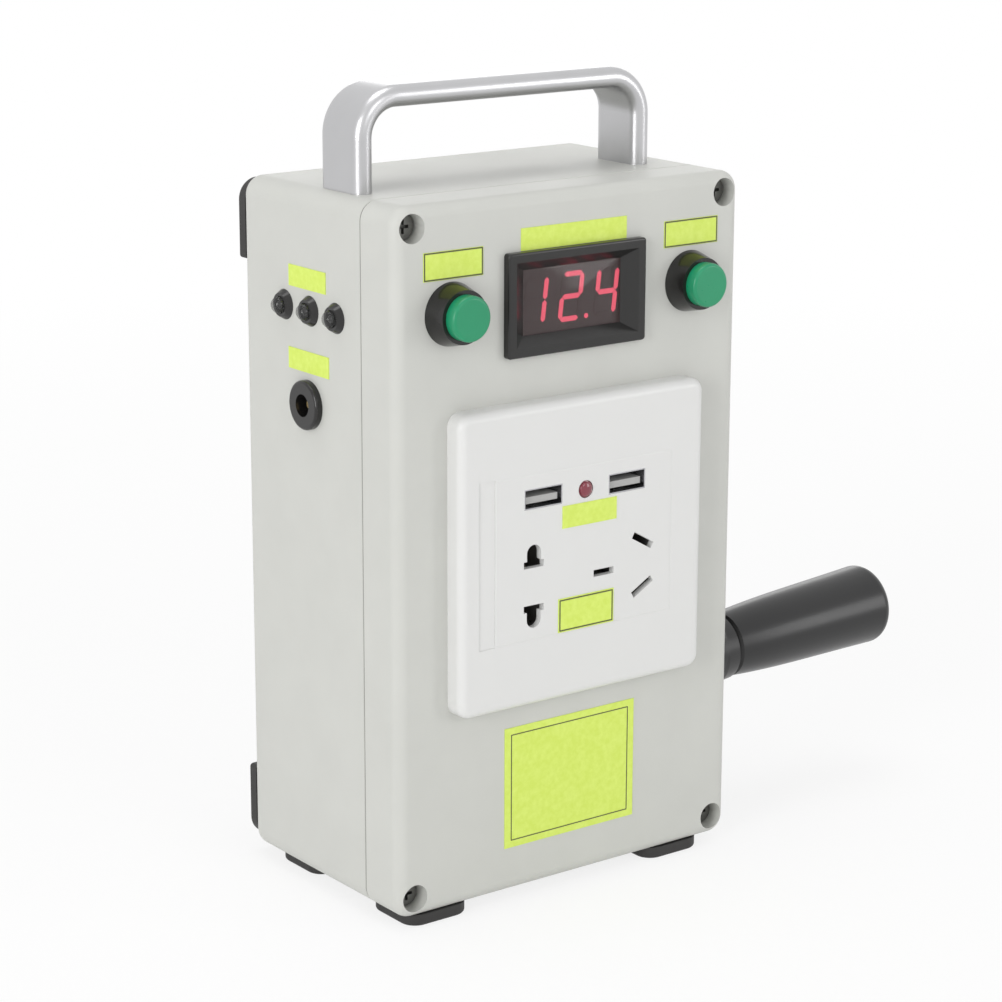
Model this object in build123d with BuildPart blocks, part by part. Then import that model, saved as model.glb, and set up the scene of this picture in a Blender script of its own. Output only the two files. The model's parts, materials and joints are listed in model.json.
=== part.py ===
from build123d import *
import os
from math import acos, atan2, cos, degrees, pi, radians, sin, tan

# Hand crank generator in an upright enclosure. Millimetres, +X to the crank side, +Y to the
# back, +Z up. The origin is on the floor, under the middle of the case.

os.makedirs("parts", exist_ok=True)

# ---------------------------------------------------------------- driving dimensions
# Case
case_width = 120.0
case_depth = 75.0
case_height = 200.0
wall = 3.0
cover_depth = 16.0
case_corner_radius = 5.5
case_edge_radius = 3.5
inner_corner_radius = 1.0
lip_thickness = 1.2
lip_height = 2.0
gasket_thickness = 1.0
lip_gap = 0.15
parting_chamfer = 0.4
pillar_radius = 6.6
pillar_length = 9.5
pillar_floor = 1.0
# Cover screws
cover_screw_inset = 5.9
cover_screw_radius = 2.0
cover_head_radius = 3.5
cover_head_height = 2.4
cover_recess_radius = 4.0
cover_recess_depth = 7.0
# Clearances
thread_gap = 0.05
hole_gap = 0.2
running_gap = 0.06
fit_gap = 0.1
screw_end_gap = 0.5
end_play = 0.25
# Cross recess of every screw, as shares of its head
cross_length = 1.1
cross_width = 0.26
cross_depth = 0.55
# Feet
foot_height = 3.5
foot_width = 21.0
foot_depth = 20.7
foot_radius = 5.0
foot_edge_radius = 1.0
left_foot_inset = 5.0
right_foot_inset = 8.5
front_foot_inset = 1.2
rear_foot_inset = 5.8
back_foot_width = 17.0
back_foot_height = 22.6
back_foot_thickness = 3.2
back_foot_side_inset = 1.2
back_foot_end_inset = 1.5
back_foot_corner_radius = 6.0
back_foot_radius = 1.0
# Carry handle
handle_pitch = 96.0
handle_centre_x = -4.0
handle_centre_y = -4.0
handle_width = 19.0
handle_thickness = 6.0
handle_top = 28.5
handle_bend_radius = 11.0
handle_screw_radius = 2.0
handle_screw_grip = 9.0
handle_head_radius = 3.5
handle_head_height = 2.6
handle_washer_radius = 3.9
handle_washer_thickness = 1.0
# Front panel row: meter and buttons
panel_row_height = 70.0
meter_width = 48.0
meter_height = 29.0
meter_proud = 2.3
meter_body_width = 45.0
meter_body_height = 26.0
meter_body_depth = 15.0
meter_wall = 1.4
meter_frame_width = 2.7
meter_slope = 3.0
meter_corner_radius = 1.0
meter_edge_radius = 0.6
window_width = 34.0
window_height = 18.2
window_thickness = 1.2
window_ledge = 1.0
display_depth = 7.0
display_margin = 1.0
board_thickness = 1.6
button_offset = 41.5
button_base_radius = 8.8
button_nose_radius = 7.4
button_proud = 6.2
button_barrel_radius = 7.9
button_barrel_depth = 16.0
button_cap_radius = 6.25
button_cap_proud = 3.5
button_cap_face = 5.5
button_cap_wall = 1.1
button_cap_edge_radius = 1.0
button_travel = 3.0
button_web = 2.0
button_stem_radius = 2.5
stem_stop_lip = 0.9
stem_stop_length = 1.2
stem_stop_gap = 0.05
button_floor = 1.5
button_bore_depth = 13.0
button_nut_flats = 19.0
button_nut_thickness = 3.0
spring_wire_radius = 0.4
spring_radius = 4.4
spring_turns = 4
spring_end_gap = 0.2
# Wall socket
socket_size = 86.0
socket_thickness = 6.2
socket_corner_radius = 4.0
socket_bevel = 2.4
socket_skin = 2.0
insert_width = 62.6
insert_height = 47.6
insert_gap = 0.2
insert_edge_radius = 0.3
band_width = 5.6
band_depth = 0.3
base_flange = 80.0
base_flange_thickness = 1.8
base_corner_radius = 3.0
base_neck_gap = 0.3
base_body_width = 54.0
base_body_height = 49.0
base_body_depth = 22.0
socket_screw_pitch = 60.3
socket_screw_radius = 1.75
socket_screw_length = 12.0
socket_head_radius = 3.0
socket_head_height = 1.8
pin_drop = 8.3
two_pin_x = -18.0
round_pin_pitch = 19.0
round_pin_radius = 2.45
flat_pin_pitch = 12.7
flat_slot_length = 7.0
slot_width = 2.0
three_pin_x = 20.8
three_pin_pitch = 13.7
three_pin_angle = 30.0
three_slot_length = 8.0
earth_x = 6.7
earth_slot_length = 7.2
well_depth = 18.0
well_margin = 1.3
well_end_margin = 0.4
contact_metal = 0.6
contact_depth = 12.0
contact_end_gap = 0.2
pin_contact_gap = 8.2
pin_contact_length = 6.4
port_offset = 14.8
port_rise = 16.7
port_width = 13.1
port_height = 5.7
port_metal = 0.3
port_length = 14.0
port_gap = 0.05
port_set_back = 0.1
port_base_thickness = 2.5
tongue_width = 11.0
tongue_height = 1.9
tongue_drop = 0.5
tongue_set_back = 1.0
port_board_height = 14.0
port_board_thickness = 1.2
bay_width = 47.0
bay_height = 15.0
bay_gap = 0.3
plate_lamp_proud = 0.8
# Labels: middle across, middle above or below mid height, width, height
label_thickness = 0.2
front_label_sizes = [
    (-40.9, 83.4, 19.6, 7.8),
    (0.0, 87.7, 36.7, 6.2),
    (41.8, 84.0, 19.6, 7.6),
    (0.0, -68.6, 46.7, 35.8),
]
insert_label_sizes = [(1.4, 9.8, 19.2, 6.4), (0.4, -18.5, 19.7, 9.8)]
side_label_sizes = [(4.2, 75.3, 18.3, 6.0), (3.9, 52.0, 20.0, 6.0)]
# Lamps and power jack on the left side
lamp_height = 66.5
lamp_pitch = 12.7
lamp_middle_y = 3.1
lamp_radius = 2.45
lamp_proud = 4.2
lamp_collar_radius = 2.9
lamp_collar = 1.0
lamp_bezel_radius = 4.3
lamp_bezel_proud = 1.7
lamp_bezel_taper = 1.0
lamp_barrel_radius = 3.3
lamp_barrel_depth = 6.0
jack_y = 4.4
jack_height = 40.0
jack_flange_radius = 7.0
jack_flange_proud = 2.2
jack_edge_radius = 0.8
jack_barrel_radius = 5.5
jack_barrel_depth = 13.0
jack_bore_radius = 3.2
jack_bore_depth = 11.0
jack_pin_radius = 1.05
jack_pin_tail = 3.0
jack_nut_flats = 14.0
jack_nut_thickness = 2.5
# Crank
crank_y = 12.0
crank_height = 1.5
crank_length = 59.0
crank_lean = 26.1
crank_shaft_radius = 4.0
crank_hole_gap = 0.6
arm_gap = 2.0
arm_thickness = 9.0
arm_offset = 1.0
hub_radius = 12.5
hub_length = 16.0
hub_face = 3.0
hub_edge_radius = 1.5
arm_root_step = 0.5
arm_end_radius = 10.6
boss_radius = 11.4
boss_nose_radius = 10.3
boss_length = 14.5
boss_floor = 1.0
crank_screw_radius = 2.0
crank_screw_length = 13.0
crank_head_radius = 4.5
crank_head_height = 2.2
# Grip
grip_tilt = 2.5
grip_gap = 1.2
grip_length = 62.0
grip_end_radius = 12.45
grip_base_radius = 9.9
grip_base_bevel = 0.8
grip_edge_radius = 3.2
# radii of the grip between its ends, each with its place as a share of the length
grip_swell = [(0.29, 11.15), (0.57, 11.75), (0.80, 12.15)]
spindle_radius = 4.0
spindle_ridge_radius = 4.7
spindle_ridge_length = 3.0
spindle_reach = 48.0
spindle_end_gap = 1.0
ridge_set_back = 10.0
ridge_gap = 0.3
# Gearbox
plate_thickness = 2.0
plate_gap = 18.0
plate_wall_gap = 2.0
plate_margin = 6.0
spacer_radius = 4.0
shaft_end = 1.5
axle_end = 0.5
gearbox_screw_radius = 1.5
gearbox_head_radius = 2.9
gearbox_head_height = 1.8
gearbox_screw_bite = 8.0
can_screw_head_height = 1.5
can_screw_offset = 12.0
bush_flange = 1.5
bush_flange_lip = 1.5
crank_bush_radius = 6.0
idler_bush_radius = 4.0
first_module = 0.8
first_wheel_teeth = 48
first_pinion_teeth = 16
second_module = 0.6
second_wheel_teeth = 64
second_pinion_teeth = 16
first_gear_width = 6.0
second_gear_width = 4.0
first_gear_gap = 1.0
second_gear_gap = 2.0
pinion_overhang = 1.0
crank_gear_hub_wall = 1.4
idler_hub_wall = 2.0
tooth_tip = 0.9
tooth_root = 1.2
backlash = 0.12
pressure_angle = 20.0
idler_axle_radius = 2.0
idler_lean = 35.0
rotor_lean = 44.0
# the upper two spacers are placed from the crank's axis, the lower two from the rotor's height
upper_front_spacer = (-26.5, 5.0)
lower_front_spacer = (-27.5, -6.0)
upper_rear_spacer_rise = 21.0
lower_rear_spacer_drop = 17.0
rear_spacer_gap = 0.7
# Generator
rotor_shaft_radius = 2.0
can_radius = 18.0
can_length = 44.0
can_wall = 1.5
can_nose_radius = 5.0
can_nose_set_back = 0.2
cap_thickness = 3.0
cap_spigot = 2.0
cap_edge_radius = 1.0
magnet_thickness = 3.2
magnet_length = 26.0
magnet_overhang = 1.0
magnet_split = 16.0
core_radius = 12.8
core_length = 24.0
core_hub_radius = 6.0
slot_count = 10
core_slot_width = 2.6
slot_reach = 1.0
coil_overhang = 3.5
coil_end_gap = 1.5
coil_set_back = 0.8
coil_gap = 0.05
coil_bore_step = 1.5
commutator_radius = 4.2
commutator_length = 7.0
commutator_gap = 0.5
brush_size = 4.0
brush_length = 6.0
brush_gap = 0.05
holder_length = 7.0
holder_depth = 5.6
holder_wall = 1.2
holder_floor = 1.0
shaft_tail = 1.0
# Inverter
board_height = 88.0
board_wall_gap = 7.0
board_gearbox_gap = 9.0
board_rise = 40.5
board_standoff = 6.5
board_boss_radius = 3.5
board_screw_inset = 4.5
board_screw_radius = 1.5
board_head_radius = 2.8
board_head_height = 1.8
transformer_width = 34.0
transformer_height = 30.0
transformer_depth = 22.0
transformer_edge_radius = 1.0
transformer_gap = 8.4
capacitor_radius = 6.3
capacitor_length = 20.0
capacitor_pitch = 15.0
capacitor_edge_radius = 0.8
capacitor_margin = 3.5
fin_count = 7
heat_sink_width = 42.0
heat_sink_height = 20.0
heat_sink_depth = 18.0
fin_thickness = 1.4
fin_base = 3.0
wire_radius = 0.9
wire_bend = 5.0
wire_clearance = 2.0
wire_run = 10.0
left_lane_gap = 6.0
right_lane_gap = 7.0

# ---------------------------------------------------------------- places worked out from them
front_y = -case_depth / 2
rear_y = case_depth / 2
side_x = case_width / 2
parting_y = front_y + cover_depth
top_z = foot_height + case_height
mid_z = foot_height + case_height / 2
inner_width = case_width - 2 * wall
inner_height = case_height - 2 * wall
inner_x = side_x - wall
inner_rear_y = rear_y - wall
inner_front_y = front_y + wall
panel_z = mid_z + panel_row_height
pin_z = mid_z - pin_drop
port_z = mid_z + port_rise
screw_x = side_x - cover_screw_inset
screw_z = case_height / 2 - cover_screw_inset
cover_screw_points = [(x, mid_z + z) for x in (-screw_x, screw_x) for z in (-screw_z, screw_z)]
handle_xs = (handle_centre_x - handle_pitch / 2, handle_centre_x + handle_pitch / 2)
lamp_z = mid_z + lamp_height
lamp_ys = [lamp_middle_y + step * lamp_pitch for step in (-1, 0, 1)]
jack_z = mid_z + jack_height
crank_z = mid_z + crank_height
board_z = mid_z + board_rise
outer_plate_x = inner_x - plate_wall_gap - plate_thickness
inner_plate_x = outer_plate_x - plate_gap - plate_thickness
board_width = inner_plate_x - board_gearbox_gap - board_wall_gap + inner_x
board_centre_x = -inner_x + board_wall_gap + board_width / 2
board_screw_pitch_x = board_width - 2 * board_screw_inset
board_screw_pitch_z = board_height - 2 * board_screw_inset


def across(y):
    """Plane facing the front at depth y: its own axes are world X and Z."""
    return Plane.XZ.offset(-y)


def beside(x):
    """Plane facing +X at place x: its own axes are world Y and Z."""
    return Plane.YZ.offset(x)


def level(z):
    """Plane facing up at height z."""
    return Plane.XY.offset(z)


def facing(x, y, z, direction):
    """Plane at a point, facing along a direction."""
    return Plane(origin=(x, y, z), z_dir=direction)


def disc(plane, radius, length):
    """Solid cylinder standing on a plane."""
    with BuildSketch(plane) as profile:
        Circle(radius)
    extrude(profile.sketch, amount=length)


def bore(plane, radius, length):
    """Round hole cut from a plane along its normal."""
    with BuildSketch(plane) as profile:
        Circle(radius)
    extrude(profile.sketch, amount=length, mode=Mode.SUBTRACT)


def screw(plane, radius, length, head_radius, head_height):
    """Cross-head screw: the head stands on the plane and the shank goes down through it."""
    disc(plane, head_radius, head_height)
    with BuildSketch(plane) as shank:
        Circle(radius)
    extrude(shank.sketch, amount=-length)
    with BuildSketch(plane.offset(head_height)) as cross:
        Rectangle(head_radius * cross_length, head_radius * cross_width)
        Rectangle(head_radius * cross_width, head_radius * cross_length)
    extrude(cross.sketch, amount=-head_height * cross_depth, mode=Mode.SUBTRACT)


def cavity_outline(grow):
    """Inside of the case with the screw pillars left standing, moved outwards by grow."""
    with Locations((0, mid_z)):
        RectangleRounded(inner_width + 2 * grow, inner_height + 2 * grow, inner_corner_radius + grow)
    with Locations(*cover_screw_points):
        Circle(pillar_radius - grow, mode=Mode.SUBTRACT)


# ---------------------------------------------------------------- gear train
first_centres = first_module * (first_wheel_teeth + first_pinion_teeth) / 2
second_centres = second_module * (second_wheel_teeth + second_pinion_teeth) / 2
idler_y = crank_y - first_centres * sin(radians(idler_lean))
idler_z = crank_z - first_centres * cos(radians(idler_lean))
rotor_y = idler_y + second_centres * sin(radians(rotor_lean))
rotor_z = idler_z - second_centres * cos(radians(rotor_lean))
gear_space = inner_plate_x + plate_thickness
first_gear_x = outer_plate_x - bush_flange - first_gear_width - first_gear_gap
second_gear_x = gear_space + bush_flange + second_gear_gap
rear_spacer_y = inner_rear_y - plate_margin - rear_spacer_gap
spacer_points = [
    (crank_y + upper_front_spacer[0], crank_z + upper_front_spacer[1]),
    (rear_spacer_y, crank_z + upper_rear_spacer_rise),
    (rear_spacer_y, rotor_z - lower_rear_spacer_drop),
    (crank_y + lower_front_spacer[0], rotor_z + lower_front_spacer[1]),
]


def involute(angle):
    return tan(angle) - angle


def gear_points(module, teeth, turn):
    """Outline of an involute gear: root, flank and tip points, tooth by tooth.

    The flank's half angle at radius r is the half angle at the pitch circle plus the
    involute of the pressure angle less the involute of the pressure angle at r.
    """
    pitch = module * teeth / 2
    base = pitch * cos(radians(pressure_angle))
    tip = pitch + tooth_tip * module
    root = pitch - tooth_root * module
    half = (pi * module / 2 - backlash) / (2 * pitch)
    flank = [max(base, root) + share * (tip - max(base, root)) for share in (0.0, 0.5, 1.0)]
    spread = [half + involute(radians(pressure_angle)) - involute(acos(min(1.0, base / r))) for r in flank]
    points = []
    for tooth in range(teeth):
        middle = radians(turn) + 2 * pi * tooth / teeth
        points.append((root, middle - spread[0]))
        points += [(r, middle - a) for r, a in zip(flank, spread)]
        points += [(r, middle + a) for r, a in reversed(list(zip(flank, spread)))]
        points.append((root, middle + spread[0]))
    if base < root:
        points = [p for i, p in enumerate(points) if i % 8 not in (0, 7)]
    return [(r * cos(a), r * sin(a)) for r, a in points]


def gear(y, z, x, width, module, teeth, turn):
    """Spur gear blank with teeth, lying across X."""
    with BuildSketch(beside(x)) as blank:
        with Locations((y, z)):
            Polygon(*gear_points(module, teeth, turn), align=None)
    extrude(blank.sketch, amount=width)


def mesh_turn(from_turn, from_teeth, teeth, direction):
    """Turn of a gear so that its tooth space meets the other gear's tooth along a direction."""
    share = (direction - from_turn) * from_teeth / teeth
    return direction + 180 + share + 180 / teeth


# Directions from wheel to pinion, in degrees from +Y towards +Z.
first_direction = degrees(atan2(idler_z - crank_z, idler_y - crank_y))
second_direction = degrees(atan2(rotor_z - idler_z, rotor_y - idler_y))
first_turn = first_direction
idler_turn = mesh_turn(first_turn, first_wheel_teeth, first_pinion_teeth, first_direction)
second_turn = second_direction
rotor_turn = mesh_turn(second_turn, second_wheel_teeth, second_pinion_teeth, second_direction)

# Generator places along X
can_front_x = inner_plate_x
can_back_x = can_front_x - can_length
core_x = can_front_x - can_wall - coil_overhang - coil_end_gap - core_length
commutator_x = core_x - coil_overhang - commutator_length - commutator_gap
magnet_radius = can_radius - can_wall

# ---------------------------------------------------------------- case
with BuildPart() as rear_case:
    with BuildSketch(across(parting_y)):
        with Locations((0, mid_z)):
            RectangleRounded(case_width, case_height, case_corner_radius)
    extrude(amount=-(case_depth - cover_depth))
    fillet(rear_case.faces().sort_by(Axis.Y)[-1].edges(), case_edge_radius)
    chamfer(rear_case.faces().sort_by(Axis.Y)[0].edges(), parting_chamfer)
    with BuildSketch(across(parting_y)):
        cavity_outline(0)
    extrude(amount=-pillar_length, mode=Mode.SUBTRACT)
    with BuildSketch(across(parting_y + pillar_length)):
        with Locations((0, mid_z)):
            RectangleRounded(inner_width, inner_height, inner_corner_radius)
    extrude(amount=-(inner_rear_y - parting_y - pillar_length), mode=Mode.SUBTRACT)
    # sealing lip round the rim, inside the cover
    with BuildSketch(across(parting_y)):
        cavity_outline(lip_thickness)
        with BuildSketch(mode=Mode.PRIVATE) as lip_inside:
            cavity_outline(0)
        add(lip_inside.sketch, mode=Mode.SUBTRACT)
    extrude(amount=lip_height)
    with BuildSketch(across(parting_y)):
        with Locations(*cover_screw_points):
            Circle(cover_screw_radius + thread_gap)
    extrude(amount=-(pillar_length - pillar_floor), mode=Mode.SUBTRACT)
    # pads that the gearbox's outer plate is drawn up to
    with BuildSketch(beside(inner_x)):
        with Locations(*spacer_points):
            Circle(spacer_radius)
    extrude(amount=-plate_wall_gap)
    with BuildSketch(beside(inner_x - plate_wall_gap)):
        with Locations(*spacer_points):
            Circle(gearbox_screw_radius + hole_gap)
    extrude(amount=plate_wall_gap + wall, mode=Mode.SUBTRACT)
    bore(facing(inner_x, crank_y, crank_z, (1, 0, 0)), crank_shaft_radius + crank_hole_gap, wall)
    # bosses for the inverter board
    with BuildSketch(across(inner_rear_y)):
        with Locations((board_centre_x, board_z)):
            with GridLocations(board_screw_pitch_x, board_screw_pitch_z, 2, 2):
                Circle(board_boss_radius)
    extrude(amount=board_standoff)
    with BuildSketch(across(inner_rear_y - board_standoff)):
        with Locations((board_centre_x, board_z)):
            with GridLocations(board_screw_pitch_x, board_screw_pitch_z, 2, 2):
                Circle(board_screw_radius + thread_gap)
    extrude(amount=-(board_standoff + screw_end_gap), mode=Mode.SUBTRACT)
    # handle screws, lamps and power jack
    for x in handle_xs:
        bore(facing(x, handle_centre_y, top_z - wall, (0, 0, 1)), handle_screw_radius + hole_gap, wall)
    for y in lamp_ys:
        bore(facing(-side_x, y, lamp_z, (1, 0, 0)), lamp_barrel_radius + hole_gap, wall)
    bore(facing(-side_x, jack_y, jack_z, (1, 0, 0)), jack_barrel_radius + hole_gap, wall)

with BuildPart() as front_cover:
    with BuildSketch(across(parting_y)):
        with Locations((0, mid_z)):
            RectangleRounded(case_width, case_height, case_corner_radius)
    extrude(amount=cover_depth)
    fillet(front_cover.faces().sort_by(Axis.Y)[0].edges(), case_edge_radius)
    chamfer(front_cover.faces().sort_by(Axis.Y)[-1].edges(), parting_chamfer)
    with BuildSketch(across(parting_y)):
        cavity_outline(0)
    extrude(amount=cover_depth - wall, mode=Mode.SUBTRACT)
    with BuildSketch(across(parting_y)):
        cavity_outline(lip_thickness + lip_gap)
    extrude(amount=lip_height + gasket_thickness, mode=Mode.SUBTRACT)
    with BuildSketch(across(front_y)):
        with Locations(*cover_screw_points):
            Circle(cover_recess_radius)
    extrude(amount=-cover_recess_depth, mode=Mode.SUBTRACT)
    with BuildSketch(across(front_y)):
        with Locations(*cover_screw_points):
            Circle(cover_screw_radius + hole_gap)
    extrude(amount=-cover_depth, mode=Mode.SUBTRACT)
    with BuildSketch(across(front_y)):
        with Locations((0, panel_z)):
            Rectangle(meter_body_width + 2 * hole_gap, meter_body_height + 2 * hole_gap)
        with Locations((-button_offset, panel_z), (button_offset, panel_z)):
            Circle(button_barrel_radius + hole_gap)
        with Locations((0, mid_z)):
            Rectangle(base_body_width + 2 * hole_gap, base_body_height + 2 * hole_gap)
        with Locations((-socket_screw_pitch / 2, mid_z), (socket_screw_pitch / 2, mid_z)):
            Circle(socket_screw_radius + thread_gap)
    extrude(amount=-wall, mode=Mode.SUBTRACT)

with BuildPart() as cover_gasket:
    with BuildSketch(across(parting_y - lip_height)):
        cavity_outline(lip_thickness)
        with BuildSketch(mode=Mode.PRIVATE) as gasket_inside:
            cavity_outline(0)
        add(gasket_inside.sketch, mode=Mode.SUBTRACT)
    extrude(amount=gasket_thickness)

with BuildPart() as cover_screws:
    for x, z in cover_screw_points:
        seat = facing(x, front_y + cover_recess_depth, z, (0, -1, 0))
        reach = cover_depth - cover_recess_depth + pillar_length - pillar_floor - screw_end_gap
        screw(seat, cover_screw_radius, reach, cover_head_radius, cover_head_height)

foot_xs = (
    -side_x + left_foot_inset + foot_width / 2,
    side_x - right_foot_inset - foot_width / 2,
)
foot_ys = (
    front_y + front_foot_inset + foot_depth / 2,
    rear_y - rear_foot_inset - foot_depth / 2,
)
with BuildPart() as bottom_feet:
    with BuildSketch(level(0)):
        with Locations(*[(x, y) for x in foot_xs for y in foot_ys]):
            RectangleRounded(foot_width, foot_depth, foot_radius)
    extrude(amount=foot_height)
    fillet(bottom_feet.faces().group_by(Axis.Z)[0].edges(), foot_edge_radius)

back_foot_span = case_width - 2 * back_foot_side_inset
back_foot_rise = case_height - 2 * back_foot_end_inset
with BuildPart() as rear_feet:
    with BuildSketch(across(rear_y)):
        with Locations((0, mid_z)):
            with GridLocations(back_foot_span - back_foot_width, back_foot_rise - back_foot_height, 2, 2):
                RectangleRounded(back_foot_width, back_foot_height, back_foot_radius)
    extrude(amount=-back_foot_thickness)
    # the outer corner of each pad follows the case's rounded corner
    with BuildSketch(across(rear_y)):
        with Locations((0, mid_z)):
            RectangleRounded(back_foot_span, back_foot_rise, back_foot_corner_radius)
    extrude(amount=-back_foot_thickness, mode=Mode.INTERSECT)

# ---------------------------------------------------------------- carry handle
handle_z = top_z + handle_top - handle_thickness / 2
with BuildPart() as carry_handle:
    with BuildLine() as handle_path:
        FilletPolyline(
            (handle_xs[0], handle_centre_y, top_z),
            (handle_xs[0], handle_centre_y, handle_z),
            (handle_xs[1], handle_centre_y, handle_z),
            (handle_xs[1], handle_centre_y, top_z),
            radius=handle_bend_radius,
        )
    with BuildSketch(Plane(origin=(handle_xs[0], handle_centre_y, top_z), x_dir=(0, 1, 0), z_dir=(0, 0, 1))):
        SlotOverall(handle_width, handle_thickness)
    sweep(path=handle_path.line)
    for x in handle_xs:
        seat = facing(x, handle_centre_y, top_z, (0, 0, 1))
        bore(seat, handle_screw_radius + thread_gap, handle_screw_grip)

with BuildPart() as handle_screws:
    for x in handle_xs:
        under = facing(x, handle_centre_y, top_z - wall - handle_washer_thickness, (0, 0, -1))
        reach = wall + handle_washer_thickness + handle_screw_grip - screw_end_gap
        screw(under, handle_screw_radius, reach, handle_head_radius, handle_head_height)

with BuildPart() as handle_washers:
    for x in handle_xs:
        under = facing(x, handle_centre_y, top_z - wall, (0, 0, -1))
        disc(under, handle_washer_radius, handle_washer_thickness)
        bore(under, handle_screw_radius + hole_gap, handle_washer_thickness)

# ---------------------------------------------------------------- panel meter
meter_front_y = front_y - meter_proud
window_front_y = meter_front_y + meter_slope
window_back_y = window_front_y + window_thickness
meter_back_y = front_y + meter_body_depth
window_rim = window_ledge - fit_gap
with BuildPart() as meter_bezel:
    with BuildSketch(across(front_y)):
        with Locations((0, panel_z)):
            RectangleRounded(meter_width, meter_height, meter_corner_radius)
    extrude(amount=meter_proud)
    fillet(meter_bezel.faces().sort_by(Axis.Y)[0].edges(), meter_edge_radius)
    with BuildSketch(across(front_y)):
        with Locations((0, panel_z)):
            Rectangle(meter_body_width, meter_body_height)
    extrude(amount=-meter_body_depth)
    # the opening narrows from the front ring to the window
    with BuildSketch(across(meter_front_y)):
        with Locations((0, panel_z)):
            Rectangle(meter_width - 2 * meter_frame_width, meter_height - 2 * meter_frame_width)
    with BuildSketch(across(window_front_y)):
        with Locations((0, panel_z)):
            Rectangle(window_width, window_height)
    loft(mode=Mode.SUBTRACT)
    with BuildSketch(across(window_front_y)):
        with Locations((0, panel_z)):
            Rectangle(window_width + 2 * window_ledge, window_height + 2 * window_ledge)
    extrude(amount=-window_thickness, mode=Mode.SUBTRACT)
    with BuildSketch(across(window_back_y)):
        with Locations((0, panel_z)):
            Rectangle(meter_body_width - 2 * meter_wall, meter_body_height - 2 * meter_wall)
    extrude(amount=-(meter_back_y - window_back_y), mode=Mode.SUBTRACT)

with BuildPart() as meter_window:
    with BuildSketch(across(window_back_y)):
        with Locations((0, panel_z)):
            Rectangle(window_width + 2 * window_rim, window_height + 2 * window_rim)
    extrude(amount=window_thickness)

with BuildPart() as meter_display:
    with BuildSketch(across(window_back_y + display_depth)):
        with Locations((0, panel_z)):
            Rectangle(window_width + 2 * display_margin, window_height + 2 * display_margin)
    extrude(amount=display_depth)

with BuildPart() as meter_board:
    with BuildSketch(across(window_back_y + display_depth + board_thickness)):
        with Locations((0, panel_z)):
            Rectangle(meter_body_width - 2 * meter_wall, meter_body_height - 2 * meter_wall)
    extrude(amount=board_thickness)

# ---------------------------------------------------------------- push buttons
button_nose_y = front_y - button_proud
button_web_y = button_nose_y + button_bore_depth
button_back_y = front_y + button_barrel_depth
cap_front_y = button_nose_y - button_cap_proud
cap_skirt_y = button_web_y - button_travel - 2 * spring_turns * spring_wire_radius
cap_under_y = cap_front_y + button_cap_face
stem_stop_y = button_web_y + button_web + stem_stop_gap
with BuildPart() as button_bodies:
    for x in (-button_offset, button_offset):
        with BuildSketch(across(front_y)):
            with Locations((x, panel_z)):
                Circle(button_base_radius)
        with BuildSketch(across(button_nose_y)):
            with Locations((x, panel_z)):
                Circle(button_nose_radius)
        loft()
        disc(facing(x, front_y, panel_z, (0, 1, 0)), button_barrel_radius, button_barrel_depth)
        bore(facing(x, button_nose_y, panel_z, (0, 1, 0)), button_cap_radius + running_gap, button_bore_depth)
        bore(facing(x, button_web_y, panel_z, (0, 1, 0)), button_stem_radius + running_gap, button_web)
        bore(facing(x, button_web_y + button_web, panel_z, (0, 1, 0)), button_cap_radius,
             button_back_y - button_web_y - button_web - button_floor)


def button_cap(x):
    """Cap with its skirt, the stem that runs through the web and the stop behind the web."""
    skirt = facing(x, cap_skirt_y, panel_z, (0, -1, 0))
    disc(skirt, button_cap_radius, cap_skirt_y - cap_front_y)
    bore(skirt, button_cap_radius - button_cap_wall, cap_skirt_y - cap_under_y)
    disc(facing(x, cap_under_y, panel_z, (0, 1, 0)), button_stem_radius, stem_stop_y - cap_under_y)
    disc(facing(x, stem_stop_y, panel_z, (0, 1, 0)), button_stem_radius + stem_stop_lip, stem_stop_length)


with BuildPart() as left_button_cap:
    button_cap(-button_offset)
    fillet(left_button_cap.faces().sort_by(Axis.Y)[0].edges(), button_cap_edge_radius)

with BuildPart() as right_button_cap:
    button_cap(button_offset)
    fillet(right_button_cap.faces().sort_by(Axis.Y)[0].edges(), button_cap_edge_radius)


def button_spring(x):
    """Coil spring round the stem, from the cap's underside to the web."""
    length = button_web_y - cap_under_y - 2 * (spring_wire_radius + spring_end_gap)
    start = cap_under_y + spring_wire_radius + spring_end_gap
    with BuildLine() as coil:
        Helix(pitch=length / spring_turns, height=length, radius=spring_radius, center=(x, start, panel_z),
              direction=(0, 1, 0))
    with BuildSketch(Plane(origin=coil.line @ 0, z_dir=coil.line % 0)) as wire:
        Circle(spring_wire_radius)
    sweep(wire.sketch, path=coil.line, is_frenet=True)


with BuildPart() as left_button_spring:
    button_spring(-button_offset)

with BuildPart() as right_button_spring:
    button_spring(button_offset)

with BuildPart() as button_nuts:
    for x in (-button_offset, button_offset):
        with BuildSketch(across(inner_front_y)):
            with Locations((x, panel_z)):
                RegularPolygon(button_nut_flats / 2, 6, major_radius=False)
                Circle(button_barrel_radius + thread_gap, mode=Mode.SUBTRACT)
        extrude(amount=-button_nut_thickness)

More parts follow.
